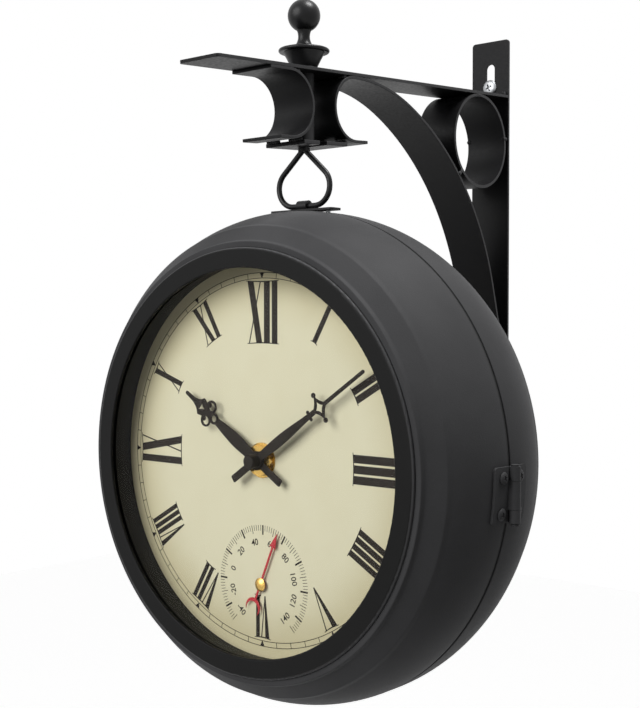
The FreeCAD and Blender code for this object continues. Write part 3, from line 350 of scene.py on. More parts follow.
def tone(tree, shader, value, dark, light):
    """Colour that drifts between two tones; callers use it for tones of the same paint and also for
    painted highlights and painted shade. Either tone may itself be a mixture.
    """
    mix = add_node(tree, "ShaderNodeMix", data_type="RGBA")
    tree.links.new(value, mix.inputs[0])
    for socket, shade_of in ((mix.inputs[6], dark), (mix.inputs[7], light)):
        if isinstance(shade_of, bpy.types.NodeSocket):
            tree.links.new(shade_of, socket)
        else:
            socket.default_value = (*shade_of, 1.0)
    tree.links.new(mix.outputs[2], shader.inputs["Base Color"])
    return mix.outputs[2]


def shade(base, factor):
    return tuple(min(1.0, c * factor) for c in base)


def even_finish(name, base, rough, size, tones, metallic=0.0, bump=0.0, wide=0.0, detail=3.0,
                stretch=(1.0, 1.0, 1.0), **sockets):
    """Finish with one grain for roughness and relief; its colour follows that or a wider one."""
    finish, tree, shader, place = finish_base(name, base, rough[0], metallic, **sockets)
    texture = grain(tree, place, size, detail, stretch)
    spread_between(tree, texture, *rough, shader.inputs["Roughness"])
    if bump:
        relief(tree, shader, texture, bump)
    drift = grain(tree, place, wide) if wide else texture
    tone(tree, shader, drift, shade(base, tones[0]), shade(base, tones[1]))
    return finish


def enamel_on_strap(colours):
    """Satin stoving enamel sprayed on rolled mild steel: a faint orange peel and soft grey sheen.

    The straps' sheared edges, which face to the left and right, carry a painted highlight: a
    lighter grey mixed in where the light would catch them."""
    base = tuple(colours.bracket)
    finish, tree, shader, place = finish_base("satin stoving enamel on rolled steel", base, 0.42,
                                              Specular_IOR_Level=0.1)
    peel = grain(tree, place, 1.4)
    spread_between(tree, peel, 0.36, 0.5, shader.inputs["Roughness"])
    relief(tree, shader, peel, 0.02)
    mottle = tone(tree, shader, grain(tree, place, 22.0), shade(base, 0.85), shade(base, 1.2))
    # Painted highlight: faces turned to the left or right are mixed towards a lighter grey
    # (#3d3d3e), standing in for light catching the straps' sheared edges.
    facing_side = add_node(tree, "ShaderNodeSeparateXYZ",
                           {0: add_node(tree, "ShaderNodeNewGeometry").outputs["Normal"]})
    across = add_node(tree, "ShaderNodeMath", {0: facing_side.outputs["X"]}, operation="ABSOLUTE")
    thin = add_node(tree, "ShaderNodeMapRange", {"Value": across.outputs[0], "From Min": 0.55,
                                                 "From Max": 0.95})
    tone(tree, shader, thin.outputs[0], mottle, paint("#3d3d3e"))
    return finish


def enamel_on_turning(colours):
    """The same enamel on smooth turned steel and wire: finer peel, a tighter and brighter sheen."""
    return even_finish("satin stoving enamel on turned steel", shade(tuple(colours.bracket), 0.9),
                       (0.3, 0.4), 0.9, (0.9, 1.15), bump=0.012, wide=9.0, Specular_IOR_Level=0.2)


def powder_coat(colours):
    """Fine texture polyester powder coat on pressed steel: matt, with a sandy grain.

    The real grain is about 0.2 mm; it is drawn at 0.6 mm so that it shows."""
    base = tuple(colours.case)
    finish, tree, shader, place = finish_base("fine texture powder coat on pressed steel", base,
                                              0.5, Specular_IOR_Level=0.06)
    sand = grain(tree, place, 0.6, 2.0)
    spread_between(tree, sand, 0.5, 0.66, shader.inputs["Roughness"])
    relief(tree, shader, sand, 0.05)
    cloud = grain(tree, place, 30.0)
    both = add_node(tree, "ShaderNodeMath", {0: sand, 1: 0.5, 2: cloud}, operation="MULTIPLY_ADD")
    tone(tree, shader, both.outputs[0], shade(base, 0.75), shade(base, 1.25))
    return finish


def from_axis(tree, place):
    """Distance of a place from the axis through both dials."""
    low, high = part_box("front_dial")
    centre = (low + high) / 2
    flat = add_node(tree, "ShaderNodeVectorMath", {0: place, 1: (0.0, 0.0, centre.z)},
                    operation="SUBTRACT")
    level = add_node(tree, "ShaderNodeVectorMath", {0: flat.outputs[0], 1: (1.0, 0.0, 1.0)},
                     operation="MULTIPLY")
    return add_node(tree, "ShaderNodeVectorMath", {0: level.outputs[0]},
                    operation="LENGTH").outputs["Value"]


def bezel_enamel(colours):
    """Satin enamel on a spun aluminium ring: flat and even, with a painted highlight, a lighter
    line on its rounded outer edge.
    """
    base = tuple(colours.bezel)
    finish, tree, shader, place = finish_base("satin enamel on spun aluminium", base, 0.4,
                                              Specular_IOR_Level=0.08)
    peel = grain(tree, place, 1.1)
    spread_between(tree, peel, 0.36, 0.46, shader.inputs["Roughness"])
    relief(tree, shader, peel, 0.01)
    even = tone(tree, shader, grain(tree, place, 18.0), shade(base, 0.85), shade(base, 1.0))
    # Painted highlight: radii from 100.6 to 101.2 mm are mixed towards a lighter grey (#505051),
    # standing in for light on the ring's rounded outer edge.
    edge = add_node(tree, "ShaderNodeMapRange", {"Value": from_axis(tree, place),
                                                 "From Min": 100.6 * MM, "From Max": 101.2 * MM})
    tone(tree, shader, edge.outputs[0], even, paint("#505051"))
    return finish


def dial_enamel(colours):
    """Cream stoving enamel on sheet steel: almost matt, with painted shade that darkens it towards
    the rim.
    """
    base = tuple(colours.dial)
    finish, tree, shader, place = finish_base("cream stoving enamel on sheet steel", base, 0.55,
                                              Specular_IOR_Level=0.1)
    # Painted shade: from 62 mm out to the rim the enamel is mixed towards a darker, warmer tone,
    # standing in for the bezel's shade; a random mottle adds to the mix.
    rim = add_node(tree, "ShaderNodeMapRange", {"Value": from_axis(tree, place),
                                                "From Min": 62 * MM, "From Max": 96 * MM},
                   interpolation_type="SMOOTHSTEP")
    mottle = grain(tree, place, 16.0, 4.0)
    both = add_node(tree, "ShaderNodeMath", {0: mottle, 1: 0.35, 2: rim.outputs[0]},
                    operation="MULTIPLY_ADD")
    deep = (base[0] * 0.84, base[1] * 0.8, base[2] * 0.7)
    tone(tree, shader, both.outputs[0], shade(base, 1.03), deep)
    relief(tree, shader, grain(tree, place, 0.8), 0.006)
    return finish


def printing_ink(colours):
    """Screen printed enamel ink: flat brown black with a slightly uneven lay."""
    return even_finish("screen printed enamel ink", tuple(colours.ink), (0.45, 0.6), 1.2,
                       (0.85, 1.2), Specular_IOR_Level=0.08)


def hand_lacquer(colours):
    """Matt black lacquer dipped on stamped sheet: soft and nearly flat."""
    return even_finish("matt lacquer on stamped sheet", tuple(colours.hands), (0.42, 0.56), 1.0,
                       (0.85, 1.15), bump=0.008, wide=6.0, Specular_IOR_Level=0.08)


def red_lacquer(colours):
    """Red lacquer sprayed on thin sheet: clean, slightly glossy."""
    return even_finish("red lacquer on thin sheet", tuple(colours.pointer), (0.34, 0.46), 0.7,
                       (0.9, 1.08))


def turned_brass(colours):
    """Turned brass: bright warm metal with fine lathe marks."""
    return even_finish("turned brass", tuple(colours.brass), (0.2, 0.36), 0.25, (0.86, 1.06), 1.0,
                       bump=0.006, wide=3.0, detail=2.0, stretch=(1.0, 0.15, 1.0))


def zinc_plate(colours):
    """Zinc plated steel: grey metal, faintly cloudy and a little dulled by handling."""
    base = tuple(colours.zinc)
    finish, tree, shader, place = finish_base("zinc plate on steel", base, 0.42, 1.0)
    cloud = grain(tree, place, 2.5)
    spread_between(tree, cloud, 0.34, 0.5, shader.inputs["Roughness"])
    relief(tree, shader, grain(tree, place, 0.5), 0.005)
    tone(tree, shader, cloud, shade(base, 0.85), shade(base, 1.05))
    return finish


def tin_plate(colours):
    """Drawn tinplate cup: grey metal with long draw marks."""
    return even_finish("drawn tinplate", shade(tuple(colours.zinc), 0.8), (0.28, 0.46), 1.5,
                       (0.85, 1.08), 1.0, stretch=(1.0, 0.2, 1.0))


def bimetal_strip(colours):
    """Rolled bimetal strip: yellowish grey metal with fine lengthwise rolling lines."""
    return even_finish("rolled bimetal strip", paint("#a08c6a"), (0.28, 0.42), 0.4, (0.85, 1.1),
                       1.0, detail=2.0, stretch=(0.2, 1.0, 0.2))


def ferrite(colours):
    """Sintered ferrite magnet: dark grey ceramic with a fine grain."""
    return even_finish("sintered ferrite", paint("#3b3b3d"), (0.5, 0.7), 0.4, (0.8, 1.2), bump=0.02)


def seal_rubber(colours):
    """Extruded EPDM rubber: dull black with a soft bloom."""
    return even_finish("extruded rubber", paint("#1c1c1c"), (0.68, 0.82), 4.0, (0.85, 1.3),
                       Specular_IOR_Level=0.3)


def float_glass(colours):
    """Clear float glass: it lets the lamps through to the dial and keeps a faint surface gloss."""
    finish, tree, shader, _ = finish_base("clear float glass", (1.0, 1.0, 1.0), 0.0,
                                          IOR=1.1, Transmission_Weight=1.0)
    clear = add_node(tree, "ShaderNodeBsdfTransparent")
    path = add_node(tree, "ShaderNodeLightPath")
    light = add_node(tree, "ShaderNodeMath", {0: path.outputs["Is Shadow Ray"],
                                              1: path.outputs["Is Diffuse Ray"]},
                     operation="MAXIMUM")
    veil = add_node(tree, "ShaderNodeMixShader", {0: light.outputs[0], 1: shader.outputs[0],
                                                  2: clear.outputs[0]})
    output = tree.nodes["Material Output"]
    tree.links.new(veil.outputs[0], output.inputs["Surface"])
    return finish


def spacer_paint(colours):
    """Matt black paint on a spun spacer ring."""
    return even_finish("matt paint on spun steel", shade(tuple(colours.bezel), 1.2), (0.5, 0.62),
                       1.2, (0.9, 1.15), Specular_IOR_Level=0.1)


def moulded_housing(colours):
    """Injection moulded ABS with a spark eroded grain, drawn at 0.5 mm."""
    return even_finish("spark eroded moulded ABS", paint("#222224"), (0.42, 0.6), 0.5,
                       (0.85, 1.15), bump=0.02, detail=2.0)


def moulded_knob(colours):
    """Moulded grey polypropylene: waxy and even."""
    return even_finish("moulded polypropylene", paint("#8a8c8e"), (0.38, 0.52), 1.5, (0.94, 1.05))


def battery_sleeve(colours):
    """Shrunk PVC sleeve, slate with a copper coloured end: glossy and slightly wavy."""
    slate, copper = paint("#35404c"), paint("#b5713c")
    finish, tree, shader, place = finish_base("shrunk PVC sleeve", slate, 0.25, Coat_Weight=0.3)
    along = add_node(tree, "ShaderNodeSeparateXYZ", {0: place})
    reach = add_node(tree, "ShaderNodeMath", {0: along.outputs["X"]}, operation="ABSOLUTE")
    band = add_node(tree, "ShaderNodeMath", {0: reach.outputs[0], 1: 15 * MM},
                    operation="GREATER_THAN")
    tone(tree, shader, band.outputs[0], slate, copper)
    relief(tree, shader, grain(tree, place, 5.0), 0.05)
    return finish


FINISHES = {
    "bracket_black": enamel_on_strap, "finial_black": enamel_on_turning,
    "loop_black": enamel_on_turning, "case_black": powder_coat, "bezel_black": bezel_enamel,
    "steel": zinc_plate, "magnet": ferrite, "seal_rubber": seal_rubber, "glass": float_glass,
    "spacer_black": spacer_paint, "dial_cream": dial_enamel, "movement_black": moulded_housing,
    "battery_label": battery_sleeve, "knob_grey": moulded_knob, "brass": turned_brass,
    "hand_black": hand_lacquer, "cup_steel": tin_plate, "bimetal": bimetal_strip,
    "pointer_red": red_lacquer, "ink": printing_ink,
}
made_finishes = {}


def finish_for(slot):
    if slot not in made_finishes:
        made_finishes[slot] = FINISHES[slot](bpy.context.scene.clock_colours)
    return made_finishes[slot]


def slot_of(node):
    for row in frame["record"]["subparts"]:
        if row["node"] == node:
            return row["material_slot"]
    raise RuntimeError("the record has no node " + node)


# ---- the dial's print ----
def dial_place(side):
    """From a dial's own plane (x across, z up, height towards -Y) to its place."""
    low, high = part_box(side + "_dial")
    centre = (low + high) / 2
    face = low.y if side == "front" else high.y
    turn = 0.0 if side == "front" else math.pi
    return Matrix.Translation((centre.x, face, centre.z)) @ Matrix.Rotation(turn, 4, "Z")


def printed(bm, name, side):
    bm.transform(dial_place(side))
    return piece_from(bm, name, side + "_half", "dial_cream", finish=finish_for("ink"))


def around(hour, x, r):
    """Dial plane point for a place across and out along an hour's line."""
    turn = math.radians(30.0 * hour)
    return (r * math.sin(turn) + x * math.cos(turn), r * math.cos(turn) - x * math.sin(turn))


def ring(bm, radius, width, steps, low, high):
    """Printed circle line as one closed band."""
    inner, outer = radius - width / 2, radius + width / 2
    swept(bm, [(inner, low), (outer, low), (outer, high), (inner, high)], steps)


def numeral_strokes(kind):
    """Strokes of each numeral: outer x and width, inner x and width, all in millimetres."""
    tall = {
        12: [(-7.5, 4.0, -1.7, 3.8), (-1.0, 0.7, -8.3, 0.7), (3.2, 3.8, 3.2, 3.8),
             (8.2, 3.6, 8.2, 3.6)],
        3: [(-4.8, 3.8, -4.8, 3.8), (0.0, 3.8, 0.0, 3.8), (4.8, 3.8, 4.8, 3.8)],
        9: [(-4.6, 3.6, -4.6, 3.6), (0.7, 3.9, 6.3, 3.7), (7.0, 0.7, 0.2, 0.7)],
    }
    short = {
        1: [(0.0, 2.7, 0.0, 2.7)],
        2: [(-2.1, 3.3, -2.1, 3.3), (2.1, 3.3, 2.1, 3.3)],
        4: [(x, 2.9, x, 2.9) for x in (-5.7, -1.9, 1.9, 5.7)],
        5: [(-2.9, 3.2, 0.3, 0.7), (3.0, 0.6, 0.3, 0.5)],
        6: [(-3.3, 2.6, -1.7, 0.7), (0.5, 0.6, -1.7, 0.5), (2.9, 2.4, 2.9, 2.4)],
        7: [(-5.5, 2.8, -3.3, 0.7), (-1.6, 0.6, -3.3, 0.5), (1.1, 2.4, 1.1, 2.4),
            (4.6, 2.4, 4.6, 2.4)],
        8: [(-6.9, 2.6, -4.8, 0.7), (-3.3, 0.6, -4.8, 0.5), (-0.7, 2.3, -0.7, 2.3),
            (2.6, 2.3, 2.6, 2.3), (5.9, 2.3, 5.9, 2.3)],
        10: [(-2.1, 2.9, 2.0, 2.7), (2.3, 0.6, -2.3, 0.6)],
        11: [(-4.0, 2.8, 0.2, 2.6), (0.9, 0.6, -4.6, 0.6), (4.3, 2.7, 4.3, 2.7)],
    }
    return tall if kind == "tall" else short


def numeral_serifs(hour, strokes):
    """Spans of the thin lines across the numeral's two ends."""
    spans = []
    for end in (0, 2):
        edges = [(s[end] - s[end + 1] / 2, s[end] + s[end + 1] / 2) for s in strokes]
        upright = [e for s, e in zip(strokes, edges)
                   if end == 0 or hour not in (5, 6, 7, 8) or s[0] == s[2]]
        if upright:
            spans.append((end, min(e[0] for e in upright) - 0.9, max(e[1] for e in upright) + 0.9))
    return spans


def numerals(dial):
    """All twelve numerals as closed strokes with hairline serifs."""
    first, rest = bmesh.new(), bmesh.new()
    low, high = SUNK, dial.ink
    for kind, foot in (("tall", dial.tall_foot), ("short", dial.numeral_foot)):
        for hour, strokes in numeral_strokes(kind).items():
            target = first if hour == 12 else rest
            for outer, outer_width, inner, inner_width in strokes:
                top = dial.numeral_top
                corners = [(outer - outer_width / 2, top), (outer + outer_width / 2, top),
                           (inner + inner_width / 2, foot), (inner - inner_width / 2, foot)]
                slab(target, [around(hour, x * MM, r) for x, r in corners], low, high)
            for end, left, right in numeral_serifs(hour, strokes):
                radius = dial.numeral_top if end == 0 else foot
                lift = -dial.serif / 2 if end == 0 else dial.serif / 2
                bow = 0.35 * MM if end == 0 else -0.35 * MM
                steps = [left + (right - left) * i / 6 for i in range(7)]
                curve = [(x, radius + bow * (2 * i / 6 - 1) ** 2) for i, x in enumerate(steps)]
                near = [around(hour, x * MM, r) for x, r in curve]
                far = [around(hour, x * MM, r + 2 * lift * (1 - 0.4 * abs(2 * i / 6 - 1)))
                       for i, (x, r) in enumerate(curve)]
                slab(target, near + far[::-1], low, high)
    return joined(first, rest, "UNION")


def minute_track(dial, steps):
    """Two circles joined by sixty ticks, with a small wedge at each five minutes."""
    first, rest = bmesh.new(), bmesh.new()
    low, high = SUNK, dial.ink * 0.98
    ring(first, dial.track_outer, dial.hairline, steps, low, high)
    ring(rest, dial.track_inner, dial.hairline, steps, low, high)
    for minute in range(60):
        hour = minute / 5
        half = dial.hairline / 2
        corners = [(-half, dial.track_outer), (half, dial.track_outer),
                   (half, dial.track_inner), (-half, dial.track_inner)]
        if minute % 5 == 0:
            corners = [(-1.4 * MM, dial.track_outer), (1.4 * MM, dial.track_outer),
                       (0.15 * MM, dial.track_inner), (-0.15 * MM, dial.track_inner)]
        slab(rest, [around(hour, x, r) for x, r in corners], low, high)
    return joined(first, rest, "UNION")


def gauge_marks(dial):
    """Thermometer's marks: a fine one every two degrees, a bold one every twenty from -30."""
    bm = bmesh.new()
    low, high = SUNK, dial.ink
    for index in range(91):
        angle = 225.0 - 3.0 * index
        reading = -40 + 2 * index
        inner, width = dial.gauge_rim - 2.8 * MM, 0.24 * MM
        if reading % 20 == 0:
            inner, width = dial.gauge_rim - 4.1 * MM, 0.3 * MM
        elif reading % 20 == 10:
            inner, width = dial.gauge_rim - 4.6 * MM, 0.85 * MM
        turn = math.radians(angle)
        way = Vector((math.cos(turn), math.sin(turn)))
        side = Vector((-way.y, way.x)) * width / 2
        middle = Vector((dial.gauge_shift, -dial.gauge_drop))
        corners = [middle + way * inner + side, middle + way * inner - side,
                   middle + way * dial.gauge_rim - side, middle + way * dial.gauge_rim + side]
        slab(bm, [tuple(c) for c in corners], low, high)
    return bm


def gauge_numbers(dial):
    """The numbers every twenty degrees, set round the thermometer."""
    bm = bmesh.new()
    for reading in range(-40, 160, 20):
        text = bpy.data.curves.new("number", "FONT")
        text.body = str(reading)
        text.align_x, text.align_y = "CENTER", "CENTER"
        text.size = dial.label_height / 0.69
        text.extrude = dial.ink / 2
        text.offset = 0.00004
        text.resolution_u = 3
        work = bpy.data.objects.new("number", text)
        mesh = bpy.data.meshes.new_from_object(work)
        angle = math.radians(225.0 - 1.5 * (reading + 40))
        lean = angle - math.pi / 2
        if reading in (-40, 120, 140):
            lean += math.pi
        spot = Vector((dial.gauge_shift + dial.label_radius * math.cos(angle), -dial.ink / 2,
                       -dial.gauge_drop + dial.label_radius * math.sin(angle)))
        mesh.transform(Matrix.Translation(spot) @ Matrix.Rotation(-lean, 4, "Y")
                       @ Matrix.Rotation(math.pi / 2, 4, "X"))
        bm.from_mesh(mesh)
        bpy.data.objects.remove(work)
        bpy.data.curves.remove(text)
        bpy.data.meshes.remove(mesh)
    bmesh.ops.remove_doubles(bm, verts=bm.verts, dist=1e-6)
    return bm


# ---- case shells ----
def eased(before, corner, after, reach, steps=6):
    """Corner of a profile rounded over a reach along both of its sides."""
    before, corner, after = Vector(before), Vector(corner), Vector(after)
    near = corner + (before - corner).normalized() * reach
    far = corner + (after - corner).normalized() * reach
    curve = []
    for i in range(steps + 1):
        t = i / steps
        curve.append(tuple(near * (1 - t) ** 2 + corner * 2 * t * (1 - t) + far * t ** 2))
    return curve


def bow(start, end, count):
    """Points between two places of the skin, on the arc that leaves the first along the case."""
    run, fall = end[1] - start[1], start[0] - end[0]
    radius = (run ** 2 + fall ** 2) / (2 * fall)
    turn = math.asin(run / radius)
    return [(start[0] - radius * (1 - math.cos(turn * i / count)),
             start[1] + radius * math.sin(turn * i / count)) for i in range(1, count)]


def skin(case, start):
    """Outside of a shell as (radius, depth), from its rolled rim to the ledge beside the bezel."""
    edge, step = case.rim_round, case.step_height
    foot = (case.crease_radius + 0.15 * MM, case.crease_depth - 0.3 * step)
    lip = (foot[0] - 0.7 * MM, foot[1] + step)
    crest = (case.crest_radius, case.crest_depth)
    heel = (crest[0] + 0.6 * MM, crest[1] - step)
    ledge = (case.crest_radius - 2.6 * MM, case.crest_depth)
    flat = bow((case.radius, case.band), foot, 26)
    profile = eased((case.radius - edge * 2, start), (case.radius, start),
                    (case.radius, start + edge * 2), edge, 5)
    profile += [(case.radius, case.band)] + flat[:-1]
    for before, corner, after in ((flat[-2], foot, lip), (foot, lip, heel), (lip, heel, crest),
                                  (heel, crest, ledge)):
        profile += eased(before, corner, after, case.crease_round)
    return profile


def shell_profile(case, start, spigot):
    """Closed edge view of a pressed half case, with the well that holds the dial.

    The rear one has a guide ring, whose tip is chamfered and which fits inside the front one."""
    well, ledge, wall = case.well_radius, case.well_depth, case.wall
    inner, hole = case.radius - wall, well - case.well_ledge
    front = [(well, case.crest_depth), (well, ledge), (hole, ledge),
             (hole, ledge - wall), (well + wall, ledge - wall),
             (well + wall, case.crest_depth - wall)]
    inside = bow((inner, case.band), (case.crease_radius - wall, case.crease_depth), 12)
    back = [(well + 1.6 * wall, case.crest_depth - wall)] + inside[::-1] + [(inner, case.band)]
    foot = [(inner, start)]
    if spigot:
        slim, tip = inner - 0.4 * MM, -case.seam - case.spigot
        foot = [(inner, 1 * MM), (slim - wall, 1 * MM), (slim - wall, tip), (slim - 0.6 * MM, tip),
                (slim, tip + 0.8 * MM), (slim, -1 * MM), (inner, -1 * MM), (inner, start)]
    return skin(case, start) + front + back + foot


def case_place(side):
    """From a shell's own frame, depth along -Y from the middle plane, to its place."""
    front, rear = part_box("front_dial"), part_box("rear_dial")
    middle = (front[0].y + rear[1].y) / 2
    turn = 0.0 if side == "front" else math.pi
    centre = (front[0].z + front[1].z) / 2
    return Matrix.Translation((0, middle, centre)) @ Matrix.Rotation(turn, 4, "Z")


# ---- screws and welds ----
def cross_head(radius, rise, place, recess):
    """Round or pan screw head with a cross recess."""
    bm = bmesh.new()
    profile = [(0, 0), (radius * 0.96, 0), (radius, rise * 0.14)]
    for i in range(1, 9):
        turn = math.pi / 2 * i / 9
        profile.append((radius * math.cos(turn) ** 0.75, rise * (0.14 + 0.86 * math.sin(turn))))
    profile.append((0, rise))
    lathe(bm, profile, 48, Matrix.Identity(4))
    cross = bmesh.new()
    half, deep = recess, rise * 0.35
    for turn in (0, math.pi / 2):
        spin = Matrix.Rotation(turn + 0.4, 4, "Z")
        slim = half * 0.22
        top = [(-half, -slim), (half, -slim), (half, slim), (-half, slim)]
        upper = [cross.verts.new(spin @ Vector((x, y, rise * 1.2))) for x, y in top]
        lower = [cross.verts.new(spin @ Vector((x * 0.45, y * 0.8, deep))) for x, y in top]
        cross.faces.new(upper)
        cross.faces.new(lower[::-1])
        for i in range(4):
            j = (i + 1) % 4
            cross.faces.new((upper[i], lower[i], lower[j], upper[j]))
    head = joined(bm, cross, "DIFFERENCE")
    head.transform(place)
    return head


def facing(point, way):
    """Frame at a point whose Z looks along a way."""
    return Matrix.Translation(point) @ Vector(way).to_track_quat("Z", "Y").to_matrix().to_4x4()


def bead_run(bm, start, end, radius, seed):
    """Hand laid weld bead: a row of ripples along a joint."""
    start, end = Vector(start), Vector(end)
    run = end - start
    steps = max(8, int(run.length / (0.35 * MM)))
    frame_at = facing(start, run)
    profile = [(0, 0)]
    for i in range(steps + 1):
        t = i / steps
        cap = math.sqrt(max(0.0, 1 - (2 * t - 1) ** 8))
        ripple = 1 + 0.09 * math.sin(2 * math.pi * t * run.length / (1.5 * MM)) \
            + 0.05 * math.sin(11 * t + seed)
        profile.append((max(radius * cap * ripple, 0.05 * MM), run.length * t))
    profile.append((0, run.length))
    lathe(bm, profile, 14, frame_at)


# Welds by their two ends and thickness: across, towards the wall and above the arm's top at
# the swivel, all along the drooping arm. Each is laid on both edges of the straps.
WELDS = (
    ((0.3, 169.6, 0.7), (11.6, 169.6, 0.7), 1.5),
    ((12.0, 167.6, -26.3), (12.0, 163.6, -26.0), 1.0),
    ((12.0, 136.6, -2.2), (12.0, 141.4, -2.2), 0.75),
    ((12.1, 119.6, -45.6), (12.1, 115.8, -48.6), 0.95),
    ((8.2, 17.6, -2.5), (12.3, 17.6, -2.5), 1.0),
    ((8.2, -17.6, -2.5), (12.3, -17.6, -2.5), 1.0),
    ((3.0, 16.8, -34.9), (11.6, 16.8, -34.9), 0.9),
    ((3.0, -16.8, -34.9), (11.6, -16.8, -34.9), 0.9),
)


# ---- operators ----
class CLOCK_OT_finishes(bpy.types.Operator):
    """Gives every solid of the clock its own finish"""
    bl_idname = "clock.finishes"
    bl_label = "Finishes"

    def execute(self, context):
        for name, node in frame["nodes"].items():
            for slot in node.material_slots:
                slot.material = finish_for(slot_of(name))
        return {"FINISHED"}


class EdgeStep:
    """What the operators share that round the edges of like pieces by one of the metal sizes."""
    steps, angle = 2, 40.0

    def execute(self, context):
        for node in self.nodes:
            dressed(node, getattr(context.scene.clock_metal, self.size), self.steps, self.angle)
        return {"FINISHED"}


class CLOCK_OT_bracket(EdgeStep, bpy.types.Operator):
    """Rounds the rolled edges of the bracket's straps, ring and plates"""
    bl_idname = "clock.bracket"
    bl_label = "Bracket straps"
    size = "strap_edge"
    nodes = ("wall_plate", "top_bar", "brace_strap", "nose_strap", "bracket_ring", "lower_plate")


class CLOCK_OT_welds(bpy.types.Operator):
    """Lays the weld beads where the straps meet"""
    bl_idname = "clock.welds"
    bl_label = "Weld beads"

    def execute(self, context):
        metal = context.scene.clock_metal
        washer_low, washer_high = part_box("pivot_washer")
        axis = Vector((0, (washer_low.y + washer_high.y) / 2, washer_low.z - metal.washer_lift))
        tilt = Matrix.Translation(axis) @ Matrix.Rotation(metal.droop, 4, "X")
        bm = bmesh.new()
        for number, (start, end, size) in enumerate(WELDS):
            for way in (1, -1):
                ends = [tilt @ Vector((way * x * MM, y * MM, z * MM)) for x, y, z in (start, end)]
                bead_run(bm, ends[0], ends[1], metal.bead * size, number + way)
        piece_from(bm, "weld_beads", "bracket", "bracket_black")
        return {"FINISHED"}


class CLOCK_OT_wall_screws(bpy.types.Operator):
    """Sets the two pan head screws that hold the wall plate"""
    bl_idname = "clock.wall_screws"
    bl_label = "Wall screws"

    def execute(self, context):
        metal = context.scene.clock_metal
        low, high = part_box("wall_plate")
        for name, z in (("wall_screw_top", high.z - metal.wall_drop),
                        ("wall_screw_bottom", low.z + metal.wall_lift)):
            head = cross_head(metal.wall_head / 2, metal.wall_rise,
                              facing((0, low.y, z), (0, -1, 0)), metal.wall_head * 0.28)
            reach = high.y - low.y + 3 * OVERLAP
            lathe(head, [(0, 0), (metal.wall_shank, 0), (metal.wall_shank, reach), (0, reach)], 24,
                  facing((0, high.y, z), (0, -1, 0)))
            piece_from(head, name, "bracket", "steel")
        return {"FINISHED"}


class CLOCK_OT_hinge_screws(bpy.types.Operator):
    """Gives the four hinge screws their round heads with a cross recess"""
    bl_idname = "clock.hinge_screws"
    bl_label = "Hinge screws"

    def execute(self, context):
        metal = context.scene.clock_metal
        low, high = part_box("front_dial")
        for side in SIDES:
            node = side + "_hinge_screws"
            solid = frame["nodes"][node].data
            axis = Vector((0, sum(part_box(node), Vector()).y / 2, (low.z + high.z) / 2))
            bm = bmesh.new()
            for upper in (True, False):
                middle = sum(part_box(node), Vector()).z / 2
                spots = [v.co for v in solid.vertices if (v.co.z > middle) == upper]
                outer = max(spots, key=lambda spot: (spot - axis).length)
                way = (outer - axis).normalized()
                base = outer - way * metal.hinge_rise
                head = cross_head(metal.hinge_head / 2, metal.hinge_rise, facing(base, way),
                                  metal.hinge_head * 0.3)
                thick, reach = metal.hinge_shank, metal.hinge_reach + OVERLAP
                lathe(head, [(0, 0), (thick, 0), (thick, reach), (0, reach)], 20,
                      facing(base - way * metal.hinge_reach, way))
                part = bpy.data.meshes.new("work")
                head.to_mesh(part)
                head.free()
                bm.from_mesh(part)
                bpy.data.meshes.remove(part)
            piece_for(bm, node)
        return {"FINISHED"}


class CLOCK_OT_hands(EdgeStep, bpy.types.Operator):
    """Eases the stamped edges of the hands"""
    bl_idname = "clock.hands"
    bl_label = "Hands"
    size, steps, angle = "hand_edge", 1, 60.0
    nodes = ("front_hour_hand", "front_minute_hand", "rear_hour_hand", "rear_minute_hand")


class CLOCK_OT_shells(bpy.types.Operator):
    """Presses the two half cases with their creases, crests and rolled rims, and lays the seal"""
    bl_idname = "clock.shells"
    bl_label = "Case shells"

    def execute(self, context):
        case = context.scene.clock_case
        steps = context.scene.clock_stage.case_steps
        for side, start in (("front", case.seam + case.seam_gap), ("rear", -case.seam)):
            bm = bmesh.new()
            swept(bm, shell_profile(case, start, side == "rear"), steps)
            bm.transform(case_place(side))
            piece_for(bm, side + "_shell", 28.0)
        low, high = case.seam, case.seam + case.seam_gap - 0.05 * MM
        inner = case.radius - case.wall + 0.05 * MM
        outer = inner + case.seal
        bm = bmesh.new()
        swept(bm, [(inner, low), (outer, low), (outer, high), (inner, high)], steps)
        bm.transform(case_place("front"))
        piece_for(bm, "case_seal")
        return {"FINISHED"}


class CLOCK_OT_fittings(EdgeStep, bpy.types.Operator):
    """Eases the pressed edges of the hinge leaves and the hanging tab"""
    bl_idname = "clock.fittings"
    bl_label = "Hinge and tab"
    size, angle = "leaf_edge", 50.0
    nodes = ("front_hinge_leaf", "rear_hinge_leaf", "hanger_tab")


class CLOCK_OT_dial_print(bpy.types.Operator):
    """Prints the numerals and the minute track on both dials"""
    bl_idname = "clock.dial_print"
    bl_label = "Dial print"

    def execute(self, context):
        dial = context.scene.clock_dial
        for side in SIDES:
            printed(numerals(dial), side + "_numerals", side)
            track = minute_track(dial, context.scene.clock_stage.ring_steps)
            printed(track, side + "_minute_track", side)
        return {"FINISHED"}


class CLOCK_OT_gauge_print(bpy.types.Operator):
    """Prints the thermometer's marks and numbers on both dials"""
    bl_idname = "clock.gauge_print"
    bl_label = "Thermometer print"

    def execute(self, context):
        dial = context.scene.clock_dial
        for side in SIDES:
            printed(gauge_marks(dial), side + "_gauge_marks", side)
            printed(gauge_numbers(dial), side + "_gauge_numbers", side)
        return {"FINISHED"}


